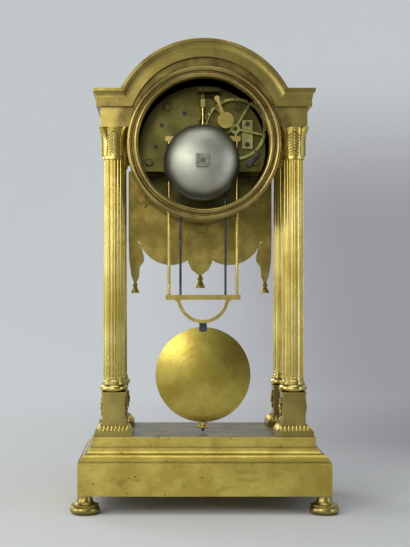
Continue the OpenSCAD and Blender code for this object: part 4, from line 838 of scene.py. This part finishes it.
@dataclass
class Dial:
    """Painted figures of the dial: hour numerals, minute track and rings."""

    hour_r: float = 46.0 * MM
    tall: float = 11.0 * MM
    track_r: float = 57.0 * MM
    track_w: float = 3.2 * MM
    line: float = 0.35 * MM
    tick_long: float = 2.6 * MM
    tick_wide: float = 0.4 * MM
    hour_tick_wide: float = 0.9 * MM
    proud: float = 0.06 * MM

    NUMERALS = ("XII", "I", "II", "III", "IIII", "V", "VI", "VII", "VIII", "IX", "X", "XI")
    # width of each letter, in millimetres
    WIDTHS = {"I": 2.6, "V": 5.4, "X": 5.6}
    # lean in degrees, shift and thickness in millimetres of each stroke of a letter
    STROKES = {
        "I": ((0.0, 0.0, 1.3),),
        "V": ((11.0, -1.05, 1.4), (-11.0, 1.05, 0.6)),
        "X": ((20.0, 0.0, 1.4), (-20.0, 0.0, 0.6)),
    }

    def build(self, ink: Material) -> None:
        """Paints the figures on the dial."""
        low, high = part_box("dial")
        centre = Vector(((low.x + high.x) / 2, low.y - self.proud / 2, drum_height()))
        upright = Matrix.Translation(centre) @ turned(90, "X")
        piece = Piece("dial_figures", ink, Slot.ENAMEL)
        for hour, word in enumerate(self.NUMERALS):
            self._word(piece, upright @ turned(-30 * hour, "Z"), word)
        for minute in range(60):
            wide = self.tick_wide if minute % 5 else self.hour_tick_wide
            tick = placed((wide, self.tick_long, self.proud), FLAT, (0, self.track_r + self.track_w / 2, 0))
            piece.block(upright @ turned(-6 * minute, "Z") @ tick)
        for r in (self.track_r, self.track_r + self.track_w):
            piece.ring(upright @ Matrix.Translation((0, 0, self.proud / 2)), r, self.line)
        piece.finish_on(CASE, smooth=False)

    def _word(self, piece: Piece, place: Matrix, word: str) -> None:
        """Adds one numeral, its foot towards the centre."""
        left = -sum(self.WIDTHS[letter] for letter in word) / 2
        for letter in word:
            x = left + self.WIDTHS[letter] / 2
            left += self.WIDTHS[letter]
            for lean, shift, thick in self.STROKES[letter]:
                size = (thick * MM, self.tall, self.proud)
                piece.block(place @ placed(size, turned(lean, "Z", 3), ((x + shift) * MM, self.hour_r, 0)))


@dataclass
class Windings:
    """Brass rims round the dial's winding holes."""

    side: float = 27.0 * MM
    drop: float = 6.0 * MM
    hole: float = 5.4 * MM
    thick: float = 0.45 * MM

    def build(self, finish: Material) -> None:
        """Sets the rims into the dial."""
        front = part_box("dial")[0].y
        piece = Piece("winding_rims", finish, Slot.BRASS)
        for side in (-1, 1):
            at = Matrix.Translation((side * self.side, front, drum_height() - self.drop))
            piece.bead(at @ turned(90, "X"), self.hole, self.thick)
        piece.finish_on(CASE)


@dataclass
class Screws:
    """Slotted heads on the movement's back, their slots drawn as dark bars of painted shade, and the oil
    sinks of its pivots drawn as dark rings of old oil and painted shade.
    """

    nut_r: float = 3.4 * MM
    nut_at: tuple[tuple[float, float], ...] = ((-36, 42), (36, 42), (-54, -14), (54, -14))
    cock_r: float = 2.5 * MM
    cock_in: float = 4.0 * MM
    head_h: float = 0.6 * MM
    head_taper: float = 0.86
    slot_w: float = 0.8 * MM
    slot_long: float = 1.66
    slot_leans: tuple[int, ...] = (25, -50, 70, 10, -20, 60)
    sink_r: float = 2.1 * MM
    sink_at: tuple[tuple[float, float], ...] = ((18, 36), (41, 24), (47, 2))
    pivot_r: float = 0.9 * MM
    pivot_taper: float = 0.8
    pivot_h: float = 1.2 * MM
    plate_y: float = 14.0 * MM
    proud: float = 0.04 * MM

    def build(self, steel: Material, brass: Material, dark: Material) -> None:
        """Sets heads, slots and sinks.

        Args:
            steel: finish of the screws and pivots.
            brass: finish of the pillars' nuts.
            dark: finish of the slots' painted shade and of the sinks' old oil and painted shade.
        """
        heads = Piece("cock_screw_heads", steel, Slot.STEEL)
        nuts = Piece("pillar_nut_heads", brass, Slot.BRASS)
        painted_shade_marks = Piece("painted_slot_and_sink_shade", dark, Slot.STEEL)
        low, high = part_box("strike_cock")
        mid = (low.x + high.x) / 2
        ends = (low.z + self.cock_in, high.z - self.cock_in)
        spots = [(heads, self.cock_r, (mid, high.y, z)) for z in ends]
        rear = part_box("pillars")[1].y
        spots += [(nuts, self.nut_r, (x * MM, rear, drum_height() + z * MM)) for x, z in self.nut_at]
        for (piece, radius, at), lean in zip(spots, self.slot_leans):
            place = self._facing(at)
            piece.disc(place, radius, radius * self.head_taper, self.head_h)
            size = (radius * self.slot_long, self.slot_w, self.proud)
            # a dark bar on the head: painted shade of its slot
            painted_shade_marks.block(place @ placed(size, turned(lean, "Z", 3), (0, 0, self.head_h / 2)))
        for x, z in self.sink_at:
            place = self._facing((x * MM, self.plate_y, drum_height() + z * MM))
            oil = place @ Matrix.Translation((0, 0, self.proud))
            # a dark ring round the pivot: old oil and painted shade of the sink
            painted_shade_marks.ring(oil, self.pivot_r, self.sink_r - self.pivot_r, steps=32)
            heads.disc(place, self.pivot_r, self.pivot_r * self.pivot_taper, self.pivot_h)
        for piece in (heads, nuts, painted_shade_marks):
            piece.finish_on(CASE, smooth=False)

    @staticmethod
    def _facing(at: Sequence[float]) -> Matrix:
        """Place whose own Z axis points to the clock's rear."""
        return Matrix.Translation(at) @ turned(-90, "X")


@dataclass
class Drum:
    """Drum with painted shade inside and cast bronze outside."""

    wall_r: float = 70.9 * MM

    def dress(self, inside: Material, outside: Material) -> None:
        """Gives each face of the drum the finish of its side.

        Args:
            inside: finish of the faces within the wall's middle.
            outside: finish of the rest.
        """
        mesh = frame["nodes"]["drum"].data
        mesh.materials.clear()
        mesh.materials.append(inside)
        mesh.materials.append(outside)
        axis = Vector((0, 0, drum_height()))
        for face in mesh.polygons:
            arm = face.center - axis
            face.material_index = int(math.hypot(arm.x, arm.z) > self.wall_r)
        LOG.info("drum wears %s inside and %s outside", inside.name, outside.name)


@dataclass(frozen=True)
class Lamp:
    """Soft box that faces a point."""

    name: str
    at: tuple[float, float, float]
    aim: tuple[float, float, float]
    size: tuple[float, float]
    watts: float
    tint: str

    def build(self) -> None:
        """Hangs the lamp in the scene."""
        light = bpy.data.lights.new(self.name, "AREA")
        light.shape = "RECTANGLE"
        light.size, light.size_y = self.size
        light.energy = self.watts
        light.color = linear(self.tint)[:3]
        lamp = bpy.data.objects.new(self.name, light)
        lamp.location = self.at
        lamp.rotation_euler = (Vector(self.aim) - Vector(self.at)).to_track_quat("-Z", "Y").to_euler()
        bpy.context.scene.collection.objects.link(lamp)


@dataclass
class Studio:
    """Seamless paper bowl, soft lamps and the camera."""

    floor_r: float = 1.35
    wall_r: float = 2.2
    wall_h: float = 1.9
    bend_steps: int = 12
    turn_steps: int = 96
    sky: str = "#c6c9ce"
    sky_strength: float = 0.4
    eye: tuple[float, float, float] = (0.046, 1.156, 0.213)
    focal_px: float = 1125.0
    centre_px: tuple[float, float] = (157.0, 293.0)
    image_px: tuple[int, int] = (410, 547)
    sensor_mm: float = 36.0

    LAMPS = (
        Lamp("key", (0.95, 1.25, 0.85), (0, 0, 0.25), (0.55, 0.55), 7.5, "#fff8ee"),
        Lamp("fill", (0.42, 1.45, 0.5), (0, 0, 0.22), (0.5, 0.45), 2.4, "#fff8ee"),
        Lamp("side", (1.5, 0.25, 0.45), (0, 0, 0.26), (1.0, 1.2), 9.0, "#ffffff"),
        Lamp("strip", (-1.2, 0.75, 0.4), (0, 0, 0.28), (0.25, 0.9), 3.0, "#f4f6ff"),
        Lamp("top", (0.0, 0.3, 1.8), (0, 0, 0.1), (1.2, 1.2), 8.0, "#ffffff"),
        Lamp("front", (1.1, -1.2, 0.9), (0, 0, 0.2), (0.8, 0.9), 8.0, "#fff8ee"),
    )

    def build(self) -> None:
        """Sets the stage."""
        scene = bpy.context.scene
        scene.view_settings.view_transform = "Standard"
        self._paper()
        self._world(scene)
        for lamp in self.LAMPS:
            lamp.build()
        self._camera(scene)
        LOG.info("studio has %d lamps", len(self.LAMPS))

    def _paper(self) -> None:
        """Spins the bowl from its floor, its bend and its wall."""
        bend = self.wall_r - self.floor_r
        angles = [math.pi / 2 * i / self.bend_steps for i in range(self.bend_steps + 1)]
        curve = [(self.floor_r + bend * math.sin(a), 0, bend * (1 - math.cos(a))) for a in angles]
        bm = bmesh.new()
        verts = [bm.verts.new(point) for point in ((0, 0, 0), *curve, (self.wall_r, 0, self.wall_h))]
        edges = [bm.edges.new(pair) for pair in zip(verts, verts[1:])]
        bmesh.ops.spin(
            bm, geom=[*verts, *edges], cent=(0, 0, 0), axis=(0, 0, 1), angle=FULL_TURN, steps=self.turn_steps,
            use_merge=True,
        )
        bmesh.ops.remove_doubles(bm, verts=bm.verts, dist=1e-6)
        bmesh.ops.recalc_face_normals(bm, faces=bm.faces)
        mesh = bpy.data.meshes.new("studio_paper")
        bm.to_mesh(mesh)
        bm.free()
        mesh.polygons.foreach_set("use_smooth", [True] * len(mesh.polygons))
        # cool grey paper, with the clock's shadow painted on it to the right and painted shade at the far end
        # of the room
        mesh.materials.append(Paper("studio_paper", "#d8dcde", "#ccd1d4", "#a2a1a7", "#646369").build())
        obj = bpy.data.objects.new("studio_paper", mesh)
        bpy.context.scene.collection.objects.link(obj)

    def _world(self, scene: bpy.types.Scene) -> None:
        """Even, pale light from above the bowl."""
        world = bpy.data.worlds.new("studio_world")
        world.use_nodes = True
        back = world.node_tree.nodes["Background"]
        back.inputs["Color"].default_value = linear(self.sky)
        back.inputs["Strength"].default_value = self.sky_strength
        scene.world = world

    def _camera(self, scene: bpy.types.Scene) -> None:
        """Puts the camera where the photograph was taken from."""
        wide, tall = self.image_px
        longest = max(wide, tall)
        data = bpy.data.cameras.new("camera")
        data.sensor_width = self.sensor_mm
        data.lens = self.focal_px / longest * self.sensor_mm
        data.shift_x = (wide / 2 - self.centre_px[0]) / longest
        data.shift_y = (self.centre_px[1] - tall / 2) / longest
        data.clip_start, data.clip_end = 0.01, 20.0
        camera = bpy.data.objects.new("camera", data)
        camera.location = self.eye
        camera.rotation_euler = (math.radians(90), 0, math.radians(180))
        scene.collection.objects.link(camera)
        scene.camera = camera


def main() -> None:
    """Builds the looks in order."""
    logging.basicConfig(level=logging.INFO)
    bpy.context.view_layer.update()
    finishes = Finishes()
    finishes.dress()
    Drum().dress(finishes.dull, finishes.cast)
    Capitals().build(finishes.gilt_matt)
    Pedestals().build(finishes.gilt)
    Dial().build(finishes.ink)
    Windings().build(finishes.bright_brass)
    Screws().build(finishes.steel, finishes.brass, finishes.ink)
    Studio().build()


if __name__ == "__main__":
    main()
